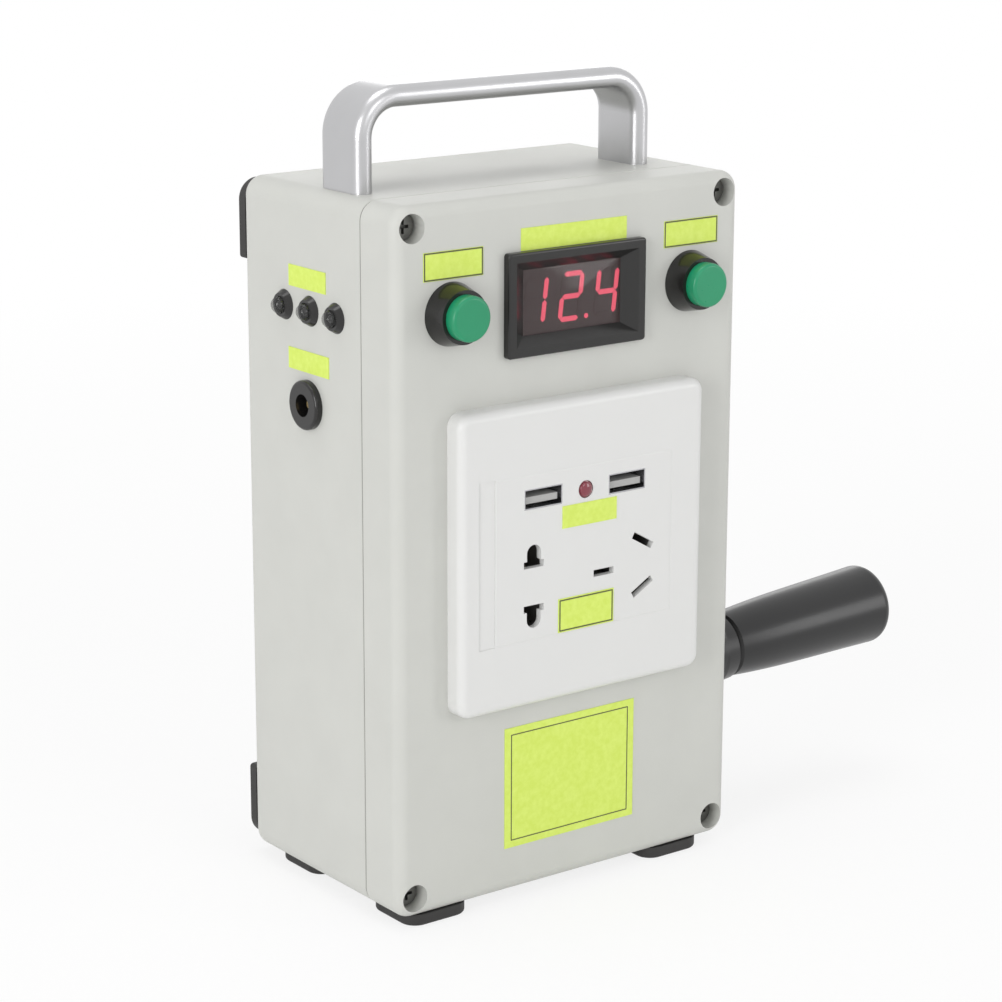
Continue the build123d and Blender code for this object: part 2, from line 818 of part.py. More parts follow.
# ---------------------------------------------------------------- wall socket
plate_front_y = front_y - socket_thickness
flange_front_y = front_y - base_flange_thickness
insert_back_y = plate_front_y + socket_skin
base_back_y = front_y + base_body_depth
well_floor_y = insert_back_y + well_depth
three_slots = [
    (three_pin_x, pin_z + three_pin_pitch / 2, -three_pin_angle),
    (three_pin_x, pin_z - three_pin_pitch / 2, three_pin_angle),
]
two_pin_well = (round_pin_pitch / 2 + flat_pin_pitch / 2) / 2
with BuildPart() as socket_base:
    with BuildSketch(across(front_y)):
        with Locations((0, mid_z)):
            RectangleRounded(base_flange, base_flange, base_corner_radius)
    extrude(amount=base_flange_thickness)
    with BuildSketch(across(insert_back_y)):
        with Locations((0, mid_z)):
            Rectangle(base_body_width, insert_height - 2 * base_neck_gap)
    extrude(amount=-(flange_front_y - insert_back_y))
    with BuildSketch(across(front_y)):
        with Locations((0, mid_z)):
            Rectangle(base_body_width, base_body_height)
    extrude(amount=-base_body_depth)
    # wells behind the pin holes
    with BuildSketch(across(insert_back_y)):
        for side in (-1, 1):
            with Locations((two_pin_x, pin_z + side * two_pin_well)):
                Rectangle(flat_slot_length + 2 * well_margin, pin_contact_gap + 2 * (contact_metal + fit_gap))
        for x, z, angle in three_slots:
            with Locations(Location((x, z, 0), angle)):
                Rectangle(three_slot_length + 2 * well_end_margin, slot_width + 2 * well_margin)
        with Locations((earth_x, pin_z)):
            Rectangle(earth_slot_length + 2 * well_margin, slot_width + 2 * well_margin)
    extrude(amount=-well_depth, mode=Mode.SUBTRACT)
    # bay for the charging ports
    with BuildSketch(across(insert_back_y)):
        with Locations((0, port_z)):
            Rectangle(bay_width, bay_height)
    extrude(amount=-well_depth, mode=Mode.SUBTRACT)
    with BuildSketch(across(flange_front_y)):
        with Locations((-socket_screw_pitch / 2, mid_z), (socket_screw_pitch / 2, mid_z)):
            Circle(socket_screw_radius + hole_gap)
    extrude(amount=-base_flange_thickness, mode=Mode.SUBTRACT)

with BuildPart() as socket_cover:
    with BuildSketch(across(front_y)):
        with Locations((0, mid_z)):
            RectangleRounded(socket_size, socket_size, socket_corner_radius)
    extrude(amount=socket_thickness)
    fillet(socket_cover.faces().sort_by(Axis.Y)[0].edges(), socket_bevel)
    with BuildSketch(across(front_y)):
        with Locations((0, mid_z)):
            RectangleRounded(base_flange + 2 * insert_gap, base_flange + 2 * insert_gap, base_corner_radius)
    extrude(amount=socket_thickness - socket_skin, mode=Mode.SUBTRACT)
    with BuildSketch(across(front_y)):
        with Locations((0, mid_z)):
            Rectangle(insert_width, insert_height)
    extrude(amount=socket_thickness, mode=Mode.SUBTRACT)
    # shallow band beside the insert, where a blade lifts it out
    with BuildSketch(across(plate_front_y)):
        with Locations((-insert_width / 2 - band_width / 2, mid_z)):
            Rectangle(band_width, insert_height)
    extrude(amount=-band_depth, mode=Mode.SUBTRACT)

with BuildPart() as socket_panel:
    with BuildSketch(across(insert_back_y)):
        with Locations((0, mid_z)):
            Rectangle(insert_width - 2 * insert_gap, insert_height - 2 * insert_gap)
    extrude(amount=socket_skin)
    fillet(socket_panel.faces().sort_by(Axis.Y)[0].edges(), insert_edge_radius)
    with BuildSketch(across(insert_back_y)):
        for side in (-1, 1):
            with Locations((two_pin_x, pin_z + side * flat_pin_pitch / 2)):
                Rectangle(flat_slot_length, slot_width)
            with Locations((two_pin_x, pin_z + side * (flat_pin_pitch + round_pin_pitch) / 4)):
                Rectangle(2 * round_pin_radius, (round_pin_pitch - flat_pin_pitch) / 2)
            with Locations((two_pin_x, pin_z + side * round_pin_pitch / 2)):
                Circle(round_pin_radius)
        for x, z, angle in three_slots:
            with Locations(Location((x, z, 0), angle)):
                Rectangle(three_slot_length, slot_width)
        with Locations((earth_x, pin_z)):
            Rectangle(earth_slot_length, slot_width)
        with Locations((-port_offset, port_z), (port_offset, port_z)):
            Rectangle(port_width + 2 * port_gap, port_height + 2 * port_gap)
        with Locations((0, port_z)):
            Circle(lamp_radius + fit_gap)
    extrude(amount=socket_skin, mode=Mode.SUBTRACT)


def contact(x, z, angle, length, gap):
    """Brass clip in a well: two leaves on a floor strip."""
    with BuildSketch(across(well_floor_y)) as outside:
        with Locations(Location((x, z, 0), angle)):
            Rectangle(length, gap + 2 * contact_metal)
    extrude(outside.sketch, amount=contact_depth)
    with BuildSketch(across(well_floor_y - contact_metal)) as inside:
        with Locations(Location((x, z, 0), angle)):
            Rectangle(length, gap)
    extrude(inside.sketch, amount=contact_depth, mode=Mode.SUBTRACT)


with BuildPart() as socket_contacts:
    for side in (-1, 1):
        contact(two_pin_x, pin_z + side * two_pin_well, 0, pin_contact_length, pin_contact_gap)
    for x, z, angle in three_slots:
        contact(x, z, angle, three_slot_length - 2 * contact_end_gap, slot_width + 2 * fit_gap)
    contact(earth_x, pin_z, 0, earth_slot_length - 2 * contact_end_gap, slot_width + 2 * fit_gap)

port_back_y = plate_front_y + port_length
with BuildPart() as port_shells:
    for x in (-port_offset, port_offset):
        with BuildSketch(across(port_back_y)):
            with Locations((x, port_z)):
                Rectangle(port_width, port_height)
        extrude(amount=port_length - port_set_back)
        with BuildSketch(across(port_back_y)):
            with Locations((x, port_z)):
                Rectangle(port_width - 2 * port_metal, port_height - 2 * port_metal)
        extrude(amount=port_length, mode=Mode.SUBTRACT)

with BuildPart() as port_tongues:
    for x in (-port_offset, port_offset):
        with BuildSketch(across(port_back_y)):
            with Locations((x, port_z)):
                Rectangle(port_width - 2 * port_metal, port_height - 2 * port_metal)
        extrude(amount=port_base_thickness)
        with BuildSketch(across(port_back_y)):
            with Locations((x, port_z - tongue_drop)):
                Rectangle(tongue_width, tongue_height)
        extrude(amount=port_length - tongue_set_back)

with BuildPart() as port_board:
    with BuildSketch(across(port_back_y + port_board_thickness)):
        with Locations((0, port_z)):
            Rectangle(bay_width - 2 * bay_gap, port_board_height)
    extrude(amount=port_board_thickness)

with BuildPart() as socket_screws:
    for x in (-socket_screw_pitch / 2, socket_screw_pitch / 2):
        screw(facing(x, flange_front_y, mid_z, (0, -1, 0)), socket_screw_radius, socket_screw_length,
              socket_head_radius, socket_head_height)

# ---------------------------------------------------------------- labels
with BuildPart() as labels:
    with BuildSketch(across(front_y)):
        for x, rise, width, height in front_label_sizes:
            with Locations((x, mid_z + rise)):
                Rectangle(width, height)
    extrude(amount=label_thickness)
    with BuildSketch(across(plate_front_y)):
        for x, rise, width, height in insert_label_sizes:
            with Locations((x, mid_z + rise)):
                Rectangle(width, height)
    extrude(amount=label_thickness)
    with BuildSketch(beside(-side_x)):
        for y, rise, width, height in side_label_sizes:
            with Locations((y, mid_z + rise)):
                Rectangle(width, height)
    extrude(amount=-label_thickness)

# ---------------------------------------------------------------- lamps and power jack
with BuildPart() as lamp_bezels:
    for y in lamp_ys:
        outside = facing(-side_x, y, lamp_z, (-1, 0, 0))
        with BuildSketch(outside):
            Circle(lamp_bezel_radius)
        with BuildSketch(outside.offset(lamp_bezel_proud)):
            Circle(lamp_bezel_radius - lamp_bezel_taper)
        loft()
        with BuildSketch(outside):
            Circle(lamp_barrel_radius)
        extrude(amount=-lamp_barrel_depth)
        with BuildSketch(outside.offset(-lamp_barrel_depth)):
            Circle(lamp_radius + thread_gap)
        extrude(amount=lamp_barrel_depth + lamp_bezel_proud, mode=Mode.SUBTRACT)


def lamp(plane, proud, depth):
    """Round lamp with a domed nose: the dome stands proud of the plane, the collar lies behind it."""
    disc(plane.offset(-depth), lamp_collar_radius, lamp_collar)
    disc(plane.offset(-depth), lamp_radius, depth + proud - lamp_radius)
    with BuildSketch(Plane(origin=plane.origin, x_dir=plane.z_dir, z_dir=plane.y_dir)) as dome:
        with Locations((proud - lamp_radius, 0)):
            Circle(lamp_radius)
        with Locations((proud - lamp_radius, -lamp_radius)):
            Rectangle(4 * lamp_radius, 2 * lamp_radius, mode=Mode.SUBTRACT)
    revolve(dome.sketch, axis=Axis(plane.origin, plane.z_dir))


with BuildPart() as lamp_leds:
    for y in lamp_ys:
        lamp(facing(-side_x, y, lamp_z, (-1, 0, 0)), lamp_proud, lamp_barrel_depth + lamp_collar)
    lamp(facing(0, plate_front_y, port_z, (0, -1, 0)), plate_lamp_proud, port_length)

jack_outside = facing(-side_x, jack_y, jack_z, (-1, 0, 0))
with BuildPart() as dc_jack:
    disc(jack_outside, jack_flange_radius, jack_flange_proud)
    fillet(dc_jack.faces().sort_by(Axis.X)[0].edges(), jack_edge_radius)
    with BuildSketch(jack_outside):
        Circle(jack_barrel_radius)
    extrude(amount=-jack_barrel_depth)
    with BuildSketch(jack_outside.offset(jack_flange_proud)):
        Circle(jack_bore_radius)
    extrude(amount=-jack_bore_depth, mode=Mode.SUBTRACT)
    with BuildSketch(jack_outside.offset(-jack_barrel_depth)):
        Circle(jack_pin_radius)
    extrude(amount=jack_barrel_depth, mode=Mode.SUBTRACT)

with BuildPart() as dc_jack_nut:
    with BuildSketch(jack_outside.offset(-wall)):
        RegularPolygon(jack_nut_flats / 2, 6, major_radius=False)
        Circle(jack_barrel_radius + thread_gap, mode=Mode.SUBTRACT)
    extrude(amount=-jack_nut_thickness)

with BuildPart() as dc_jack_pin:
    with BuildSketch(jack_outside.offset(-jack_barrel_depth - jack_pin_tail)):
        Circle(jack_pin_radius)
    extrude(amount=jack_barrel_depth + jack_pin_tail)

# ---------------------------------------------------------------- crank
# The arm's plane runs from the shaft to the grip; its local X is that direction and its
# local Z points away from the case.
lean = radians(crank_lean)
arm_direction = Vector(0, -sin(lean), -cos(lean))
hub_x = side_x + arm_gap
arm_plane = Plane(origin=(hub_x, crank_y, crank_z), x_dir=arm_direction, z_dir=(1, 0, 0))
grip_y = crank_y - crank_length * sin(lean)
grip_z = crank_z - crank_length * cos(lean)
tilt = radians(grip_tilt)
grip_axis = Vector(cos(tilt), sin(tilt) * sin(lean), sin(tilt) * cos(lean))
boss_plane = Plane(origin=(hub_x + arm_offset, grip_y, grip_z), z_dir=grip_axis)
boss_tip = boss_length - arm_offset
with BuildPart() as crank_arm:
    with BuildSketch(arm_plane):
        Circle(hub_radius)
    extrude(amount=hub_length)
    fillet(crank_arm.faces().sort_by(Axis.X)[-1].edges(), hub_edge_radius)
    with BuildSketch(arm_plane.offset(arm_offset)):
        Circle(hub_radius - arm_root_step)
        with Locations((crank_length, 0)):
            Circle(arm_end_radius)
        make_hull()
    extrude(amount=arm_thickness)
    with BuildSketch(boss_plane):
        Circle(boss_radius)
    with BuildSketch(boss_plane.offset(boss_tip)):
        Circle(boss_nose_radius)
    loft()
    with BuildSketch(arm_plane):
        Circle(crank_shaft_radius)
    extrude(amount=hub_length - hub_face, mode=Mode.SUBTRACT)
    with BuildSketch(arm_plane):
        Circle(crank_screw_radius + hole_gap)
    extrude(amount=hub_length, mode=Mode.SUBTRACT)
    with BuildSketch(boss_plane.offset(boss_tip)):
        Circle(spindle_radius)
    extrude(amount=-(boss_tip - boss_floor), mode=Mode.SUBTRACT)

shaft_end_x = hub_x + hub_length - hub_face
with BuildPart() as crank_shaft:
    disc(facing(inner_plate_x - shaft_end, crank_y, crank_z, (1, 0, 0)), crank_shaft_radius,
         shaft_end_x - inner_plate_x + shaft_end)
    bore(facing(shaft_end_x, crank_y, crank_z, (-1, 0, 0)), crank_screw_radius + thread_gap,
         crank_screw_length - hub_face + screw_end_gap)

with BuildPart() as crank_screw:
    screw(facing(hub_x + hub_length, crank_y, crank_z, (1, 0, 0)), crank_screw_radius, crank_screw_length,
          crank_head_radius, crank_head_height)

# ---------------------------------------------------------------- grip
grip_plane = boss_plane.offset(boss_tip + grip_gap)
grip_origin = grip_plane.origin
spindle_bore = spindle_radius + running_gap
ridge_start = spindle_reach - ridge_set_back
profile_plane = Plane(origin=grip_origin, x_dir=grip_axis, z_dir=grip_plane.y_dir)
edge_middle = grip_edge_radius * (1 - cos(radians(45)))
with BuildPart() as grip:
    with BuildSketch(profile_plane):
        with BuildLine():
            Line((0, 0), (0, grip_base_radius - grip_base_bevel))
            Line((0, grip_base_radius - grip_base_bevel), (grip_base_bevel, grip_base_radius))
            Spline(
                (grip_base_bevel, grip_base_radius),
                *[(share * grip_length, radius) for share, radius in grip_swell],
                (grip_length - grip_edge_radius, grip_end_radius),
            )
            ThreePointArc(
                (grip_length - grip_edge_radius, grip_end_radius),
                (grip_length - edge_middle, grip_end_radius - edge_middle),
                (grip_length, grip_end_radius - grip_edge_radius),
            )
            Line((grip_length, grip_end_radius - grip_edge_radius), (grip_length, 0))
            Line((grip_length, 0), (0, 0))
        make_face()
    revolve(axis=Axis(grip_origin, grip_axis))
    with BuildSketch(grip_plane):
        Circle(spindle_bore)
    extrude(amount=spindle_reach + spindle_end_gap, mode=Mode.SUBTRACT)
    with BuildSketch(grip_plane.offset(ridge_start - ridge_gap)):
        Circle(spindle_ridge_radius + running_gap)
    extrude(amount=spindle_ridge_length + 2 * ridge_gap, mode=Mode.SUBTRACT)

with BuildPart() as grip_spindle:
    with BuildSketch(boss_plane.offset(boss_floor)):
        Circle(spindle_radius)
    extrude(amount=boss_tip - boss_floor + grip_gap + spindle_reach)
    with BuildSketch(grip_plane.offset(ridge_start)):
        Circle(spindle_ridge_radius)
    extrude(amount=spindle_ridge_length)

# ---------------------------------------------------------------- gearbox
def plate(x):
    """Gearbox plate: a rounded four-sided sheet with the four screw holes."""
    with BuildSketch(beside(x)) as outline:
        Polygon(*spacer_points, align=None)
        offset(amount=plate_margin, kind=Kind.ARC)
        with Locations(*spacer_points):
            Circle(gearbox_screw_radius + hole_gap, mode=Mode.SUBTRACT)
        with Locations((crank_y, crank_z)):
            Circle(crank_bush_radius, mode=Mode.SUBTRACT)
        with Locations((idler_y, idler_z)):
            Circle(idler_bush_radius, mode=Mode.SUBTRACT)
    extrude(outline.sketch, amount=plate_thickness)


can_screw_points = [(rotor_y, rotor_z - can_screw_offset), (rotor_y, rotor_z + can_screw_offset)]
with BuildPart() as gearbox_plates:
    plate(outer_plate_x)
    plate(inner_plate_x)
    bore(facing(inner_plate_x, rotor_y, rotor_z, (1, 0, 0)), can_nose_radius + thread_gap, plate_thickness)
    for y, z in can_screw_points:
        bore(facing(inner_plate_x, y, z, (1, 0, 0)), gearbox_screw_radius + hole_gap, plate_thickness)

with BuildPart() as plate_spacers:
    for y, z in spacer_points:
        disc(facing(gear_space, y, z, (1, 0, 0)), spacer_radius, plate_gap)
        bore(facing(gear_space, y, z, (1, 0, 0)), gearbox_screw_radius + thread_gap, plate_gap)

with BuildPart() as gearbox_screws:
    for y, z in spacer_points:
        through = wall + plate_wall_gap + plate_thickness
        screw(facing(side_x, y, z, (1, 0, 0)), gearbox_screw_radius, through + gearbox_screw_bite,
              gearbox_head_radius, gearbox_head_height)
        screw(facing(inner_plate_x, y, z, (-1, 0, 0)), gearbox_screw_radius,
              plate_thickness + gearbox_screw_bite, gearbox_head_radius, gearbox_head_height)
    for y, z in can_screw_points:
        screw(facing(gear_space, y, z, (1, 0, 0)), gearbox_screw_radius, plate_thickness + can_wall,
              gearbox_head_radius, can_screw_head_height)


def bush(x, y, z, outer, inner, inward):
    """Flanged bush pressed into a plate, its flange on the gear side."""
    start = facing(x, y, z, (inward, 0, 0))
    disc(start, outer + bush_flange_lip, bush_flange)
    with BuildSketch(start) as barrel:
        Circle(outer)
    extrude(barrel.sketch, amount=-plate_thickness)
    with BuildSketch(start.offset(bush_flange)) as hole:
        Circle(inner + running_gap)
    extrude(hole.sketch, amount=-(bush_flange + plate_thickness), mode=Mode.SUBTRACT)


with BuildPart() as shaft_bushes:
    for x, inward in ((gear_space, 1), (outer_plate_x, -1)):
        bush(x, crank_y, crank_z, crank_bush_radius, crank_shaft_radius, inward)
        bush(x, idler_y, idler_z, idler_bush_radius, idler_axle_radius, inward)

hub_start = gear_space + bush_flange + end_play
hub_stop = outer_plate_x - bush_flange - end_play
with BuildPart() as crank_gear:
    gear(crank_y, crank_z, first_gear_x, first_gear_width, first_module, first_wheel_teeth, first_turn)
    disc(facing(hub_start, crank_y, crank_z, (1, 0, 0)), crank_shaft_radius + crank_gear_hub_wall,
         hub_stop - hub_start)
    bore(facing(hub_start, crank_y, crank_z, (1, 0, 0)), crank_shaft_radius, hub_stop - hub_start)

with BuildPart() as idler_gear:
    gear(idler_y, idler_z, second_gear_x, second_gear_width, second_module, second_wheel_teeth, second_turn)
    gear(idler_y, idler_z, second_gear_x + second_gear_width,
         hub_stop - second_gear_x - second_gear_width, first_module, first_pinion_teeth, idler_turn)
    disc(facing(hub_start, idler_y, idler_z, (1, 0, 0)), idler_axle_radius + idler_hub_wall,
         second_gear_x - hub_start)
    bore(facing(hub_start, idler_y, idler_z, (1, 0, 0)), idler_axle_radius, hub_stop - hub_start)

with BuildPart() as idler_axle:
    disc(facing(inner_plate_x - axle_end, idler_y, idler_z, (1, 0, 0)), idler_axle_radius,
         plate_gap + 2 * (plate_thickness + axle_end))

pinion_x = second_gear_x - pinion_overhang
pinion_length = second_gear_width + 2 * pinion_overhang
with BuildPart() as rotor_pinion:
    gear(rotor_y, rotor_z, pinion_x, pinion_length, second_module, second_pinion_teeth, rotor_turn)
    bore(facing(pinion_x, rotor_y, rotor_z, (1, 0, 0)), rotor_shaft_radius, pinion_length)

# ---------------------------------------------------------------- generator
can_nose = plate_thickness - can_nose_set_back
holder_x = can_back_x + cap_spigot
brush_x = holder_x + holder_floor
holder_middle = commutator_radius + fit_gap + holder_length / 2
brush_middle = commutator_radius + brush_gap + brush_length / 2


def on_rotor(x):
    """Plane facing +X on the rotor's axis."""
    return facing(x, rotor_y, rotor_z, (1, 0, 0))


with BuildPart() as generator_can:
    disc(on_rotor(can_back_x), can_radius, can_length)
    bore(on_rotor(can_back_x), can_radius - can_wall, can_length - can_wall)
    disc(on_rotor(can_front_x), can_nose_radius, can_nose)
    bore(on_rotor(can_front_x - can_wall), rotor_shaft_radius + running_gap, can_wall + can_nose)
    for y, z in can_screw_points:
        bore(facing(can_front_x - can_wall, y, z, (1, 0, 0)), gearbox_screw_radius + thread_gap, can_wall)

with BuildPart() as generator_cap:
    disc(on_rotor(can_back_x - cap_thickness), can_radius, cap_thickness)
    fillet(generator_cap.faces().sort_by(Axis.X)[0].edges(), cap_edge_radius)
    disc(on_rotor(can_back_x), can_radius - can_wall - fit_gap, cap_spigot)
    bore(on_rotor(can_back_x - cap_thickness), rotor_shaft_radius + running_gap, cap_thickness + cap_spigot)
    for side in (-1, 1):
        with BuildSketch(on_rotor(holder_x)):
            with Locations((0, side * holder_middle)):
                Rectangle(brush_size + 2 * holder_wall, holder_length)
        extrude(amount=holder_depth)
        with BuildSketch(on_rotor(brush_x)):
            with Locations((0, side * holder_middle)):
                Rectangle(brush_size, holder_length)
        extrude(amount=brush_size, mode=Mode.SUBTRACT)

with BuildPart() as brushes:
    for side in (-1, 1):
        with BuildSketch(on_rotor(brush_x)):
            with Locations((0, side * brush_middle)):
                Rectangle(brush_size, brush_length)
        extrude(amount=brush_size)

with BuildPart() as generator_magnets:
    with BuildSketch(on_rotor(core_x - magnet_overhang)):
        Circle(magnet_radius)
        Circle(magnet_radius - magnet_thickness, mode=Mode.SUBTRACT)
        Rectangle(magnet_split, 2 * can_radius, mode=Mode.SUBTRACT)
    extrude(amount=magnet_length)


def core_slots(radius, width):
    """Slots of the rotor core, open to its rim."""
    with PolarLocations((radius + core_hub_radius) / 2, slot_count):
        Rectangle(radius - core_hub_radius, width)


with BuildPart() as rotor_core:
    with BuildSketch(on_rotor(core_x)):
        Circle(core_radius)
        with BuildSketch(mode=Mode.PRIVATE) as slots:
            core_slots(core_radius + slot_reach, core_slot_width)
        add(slots.sketch, mode=Mode.SUBTRACT)
        Circle(rotor_shaft_radius, mode=Mode.SUBTRACT)
    extrude(amount=core_length)

with BuildPart() as rotor_windings:
    with BuildSketch(on_rotor(core_x)):
        core_slots(core_radius - coil_set_back, core_slot_width - 2 * coil_gap)
    extrude(amount=core_length)
    for start in (core_x - coil_overhang, core_x + core_length):
        with BuildSketch(on_rotor(start)):
            Circle(core_radius - coil_set_back)
            Circle(core_hub_radius - coil_bore_step, mode=Mode.SUBTRACT)
        extrude(amount=coil_overhang)

with BuildPart() as commutator:
    disc(on_rotor(commutator_x), commutator_radius, commutator_length)
    bore(on_rotor(commutator_x), rotor_shaft_radius, commutator_length)

with BuildPart() as rotor_shaft:
    shaft_start = can_back_x - cap_thickness - shaft_tail
    disc(on_rotor(shaft_start), rotor_shaft_radius, pinion_x + pinion_length + axle_end - shaft_start)

# ---------------------------------------------------------------- inverter
board_back_y = inner_rear_y - board_standoff
board_front_y = board_back_y - board_thickness
board_bottom_z = board_z - board_height / 2
with BuildPart() as inverter_board:
    with BuildSketch(across(board_back_y)):
        with Locations((board_centre_x, board_z)):
            Rectangle(board_width, board_height)
            with GridLocations(board_screw_pitch_x, board_screw_pitch_z, 2, 2):
                Circle(board_screw_radius + hole_gap, mode=Mode.SUBTRACT)
    extrude(amount=board_thickness)

with BuildPart() as board_screws:
    for across_side in (-1, 1):
        for height_side in (-1, 1):
            x = board_centre_x + across_side * board_screw_pitch_x / 2
            z = board_z + height_side * board_screw_pitch_z / 2
            screw(facing(x, board_front_y, z, (0, -1, 0)), board_screw_radius,
                  board_thickness + board_standoff, board_head_radius, board_head_height)

with BuildPart() as capacitors:
    for step in (-1, 0, 1):
        can_seat = facing(board_centre_x + step * capacitor_pitch, board_front_y,
                          board_bottom_z + capacitor_radius + capacitor_margin, (0, -1, 0))
        disc(can_seat, capacitor_radius, capacitor_length)
    fillet(capacitors.edges().group_by(Axis.Y)[0], capacitor_edge_radius)

heat_sink_z = board_bottom_z + 2 * (capacitor_radius + capacitor_margin) + heat_sink_height / 2
with BuildPart() as heat_sink:
    with BuildSketch(across(board_front_y)):
        with Locations((board_centre_x, heat_sink_z)):
            Rectangle(heat_sink_width, heat_sink_height)
    extrude(amount=heat_sink_depth)
    with BuildSketch(across(board_front_y - heat_sink_depth)):
        fin_pitch = (heat_sink_width - fin_thickness) / (fin_count - 1)
        with Locations((board_centre_x, heat_sink_z)):
            with GridLocations(fin_pitch, 0, fin_count - 1, 1):
                Rectangle(fin_pitch - fin_thickness, heat_sink_height)
    extrude(amount=-(heat_sink_depth - fin_base), mode=Mode.SUBTRACT)

transformer_bottom_z = heat_sink_z + heat_sink_height / 2 + transformer_gap
transformer_z = transformer_bottom_z + transformer_height / 2
with BuildPart() as transformer:
    with BuildSketch(across(board_front_y)):
        with Locations((board_centre_x, transformer_z)):
            Rectangle(transformer_width, transformer_height)
    extrude(amount=transformer_depth)
    fillet(transformer.edges().filter_by(Axis.Y), transformer_edge_radius)


def wire(*points):
    """Insulated wire along straight runs joined by tangent arcs."""
    with BuildLine() as route:
        FilletPolyline(*points, radius=wire_bend)
    with BuildSketch(Plane(origin=route.line @ 0, z_dir=route.line % 0)) as section:
        Circle(wire_radius)
    sweep(section.sketch, path=route.line)


# The wires run from each electrical piece to a free spot on the inverter board.
meter_board_back_y = window_back_y + display_depth + board_thickness
left_lane = board_centre_x - heat_sink_width / 2 - left_lane_gap
right_lane = board_centre_x + heat_sink_width / 2 + right_lane_gap
jack_back_x = -side_x + jack_barrel_depth
lamp_back_x = -side_x + lamp_barrel_depth + lamp_collar
cap_face_x = can_back_x - cap_thickness
with BuildPart() as wires:
    wire(
        (cap_face_x, rotor_y + 8.0, rotor_z),
        (cap_face_x - 16.0, rotor_y + 8.0, rotor_z),
        (left_lane - 1.0, rotor_y, rotor_z + 26.0),
        (left_lane, rotor_y, board_bottom_z + 18.0),
        (left_lane, board_front_y, board_bottom_z + 18.0),
    )
    wire(
        (jack_back_x, jack_y + 3.2, jack_z),
        (jack_back_x + wire_run, jack_y + 3.2, jack_z),
        (jack_back_x + wire_run, jack_y + 3.2, jack_z - 11.5),
        (jack_back_x + wire_run, board_front_y, jack_z - 11.5),
    )
    wire(
        (right_lane, base_back_y, pin_z),
        (right_lane, base_back_y + 14.0, pin_z),
        (right_lane, board_front_y - 16.0, board_bottom_z + 18.0),
        (right_lane, board_front_y, board_bottom_z + 18.0),
    )
    wire(
        (two_pin_x, base_back_y, pin_z - 5.0),
        (two_pin_x, base_back_y + 11.5, pin_z - 5.0),
        (two_pin_x, base_back_y + 11.5, transformer_bottom_z - wire_clearance),
        (two_pin_x, board_front_y, transformer_bottom_z - wire_clearance),
    )
    wire(
        (12.0, meter_board_back_y, panel_z),
        (12.0, meter_board_back_y + 16.0, panel_z),
        (right_lane - 1.0, board_front_y - 20.0, panel_z + 6.0),
        (right_lane - 1.0, board_front_y, panel_z + 6.0),
    )
    wire(
        (-button_offset, button_back_y, panel_z),
        (-button_offset, button_back_y + 14.0, panel_z),
        (left_lane + 2.0, board_front_y - 16.0, panel_z + 6.0),
        (left_lane + 2.0, board_front_y, panel_z + 6.0),
    )
    wire(
        (button_offset, button_back_y, panel_z),
        (button_offset, button_back_y + 14.0, panel_z),
        (right_lane + 2.0, board_front_y - 12.0, panel_z - 6.0),
        (right_lane + 2.0, board_front_y, panel_z - 6.0),
    )
    wire(
        (lamp_back_x, lamp_middle_y, lamp_z),
        (lamp_back_x + wire_run, lamp_middle_y, lamp_z),
        (lamp_back_x + wire_run, board_front_y, lamp_z),
    )

# ---------------------------------------------------------------- export
pieces = {
    "rear_case": rear_case,
    "front_cover": front_cover,
    "cover_gasket": cover_gasket,
    "cover_screws": cover_screws,
    "bottom_feet": bottom_feet,
    "rear_feet": rear_feet,
    "carry_handle": carry_handle,
    "handle_screws": handle_screws,
    "handle_washers": handle_washers,
    "meter_bezel": meter_bezel,
    "meter_window": meter_window,
    "meter_display": meter_display,
    "meter_board": meter_board,
    "button_bodies": button_bodies,
    "left_button_cap": left_button_cap,
    "right_button_cap": right_button_cap,
    "left_button_spring": left_button_spring,
    "right_button_spring": right_button_spring,
    "button_nuts": button_nuts,
    "socket_base": socket_base,
    "socket_cover": socket_cover,
    "socket_panel": socket_panel,
    "socket_contacts": socket_contacts,
    "port_shells": port_shells,
    "port_tongues": port_tongues,
    "port_board": port_board,
    "socket_screws": socket_screws,
    "labels": labels,
    "lamp_bezels": lamp_bezels,
    "lamp_leds": lamp_leds,
    "dc_jack": dc_jack,
    "dc_jack_nut": dc_jack_nut,
    "dc_jack_pin": dc_jack_pin,
    "crank_arm": crank_arm,
    "crank_screw": crank_screw,
    "crank_shaft": crank_shaft,
    "grip": grip,
    "grip_spindle": grip_spindle,
    "gearbox_plates": gearbox_plates,
    "plate_spacers": plate_spacers,
    "gearbox_screws": gearbox_screws,
    "shaft_bushes": shaft_bushes,
    "crank_gear": crank_gear,
    "idler_gear": idler_gear,
    "idler_axle": idler_axle,
    "rotor_pinion": rotor_pinion,
    "generator_can": generator_can,
    "generator_cap": generator_cap,
    "generator_magnets": generator_magnets,
    "rotor_core": rotor_core,
    "rotor_windings": rotor_windings,
    "commutator": commutator,
    "rotor_shaft": rotor_shaft,
    "brushes": brushes,
    "inverter_board": inverter_board,
    "board_screws": board_screws,
    "transformer": transformer,
    "capacitors": capacitors,
    "heat_sink": heat_sink,
    "wires": wires,
}
for name, piece in pieces.items():
    piece.part.label = name
    export_step(piece.part, f"parts/{name}.step")
print("crank axis", crank_y, crank_z)
print("idler axis", idler_y, idler_z)
print("rotor axis", rotor_y, rotor_z)
print("grip origin", tuple(grip_origin), "axis", tuple(grip_axis))
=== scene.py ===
"""Looks of the hand crank generator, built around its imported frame. Lengths are in millimetres, and mesh()
turns them into metres. Lights and floor are in metres."""

import json
import math

import bpy
import numpy as np
from mathutils import Matrix, Vector


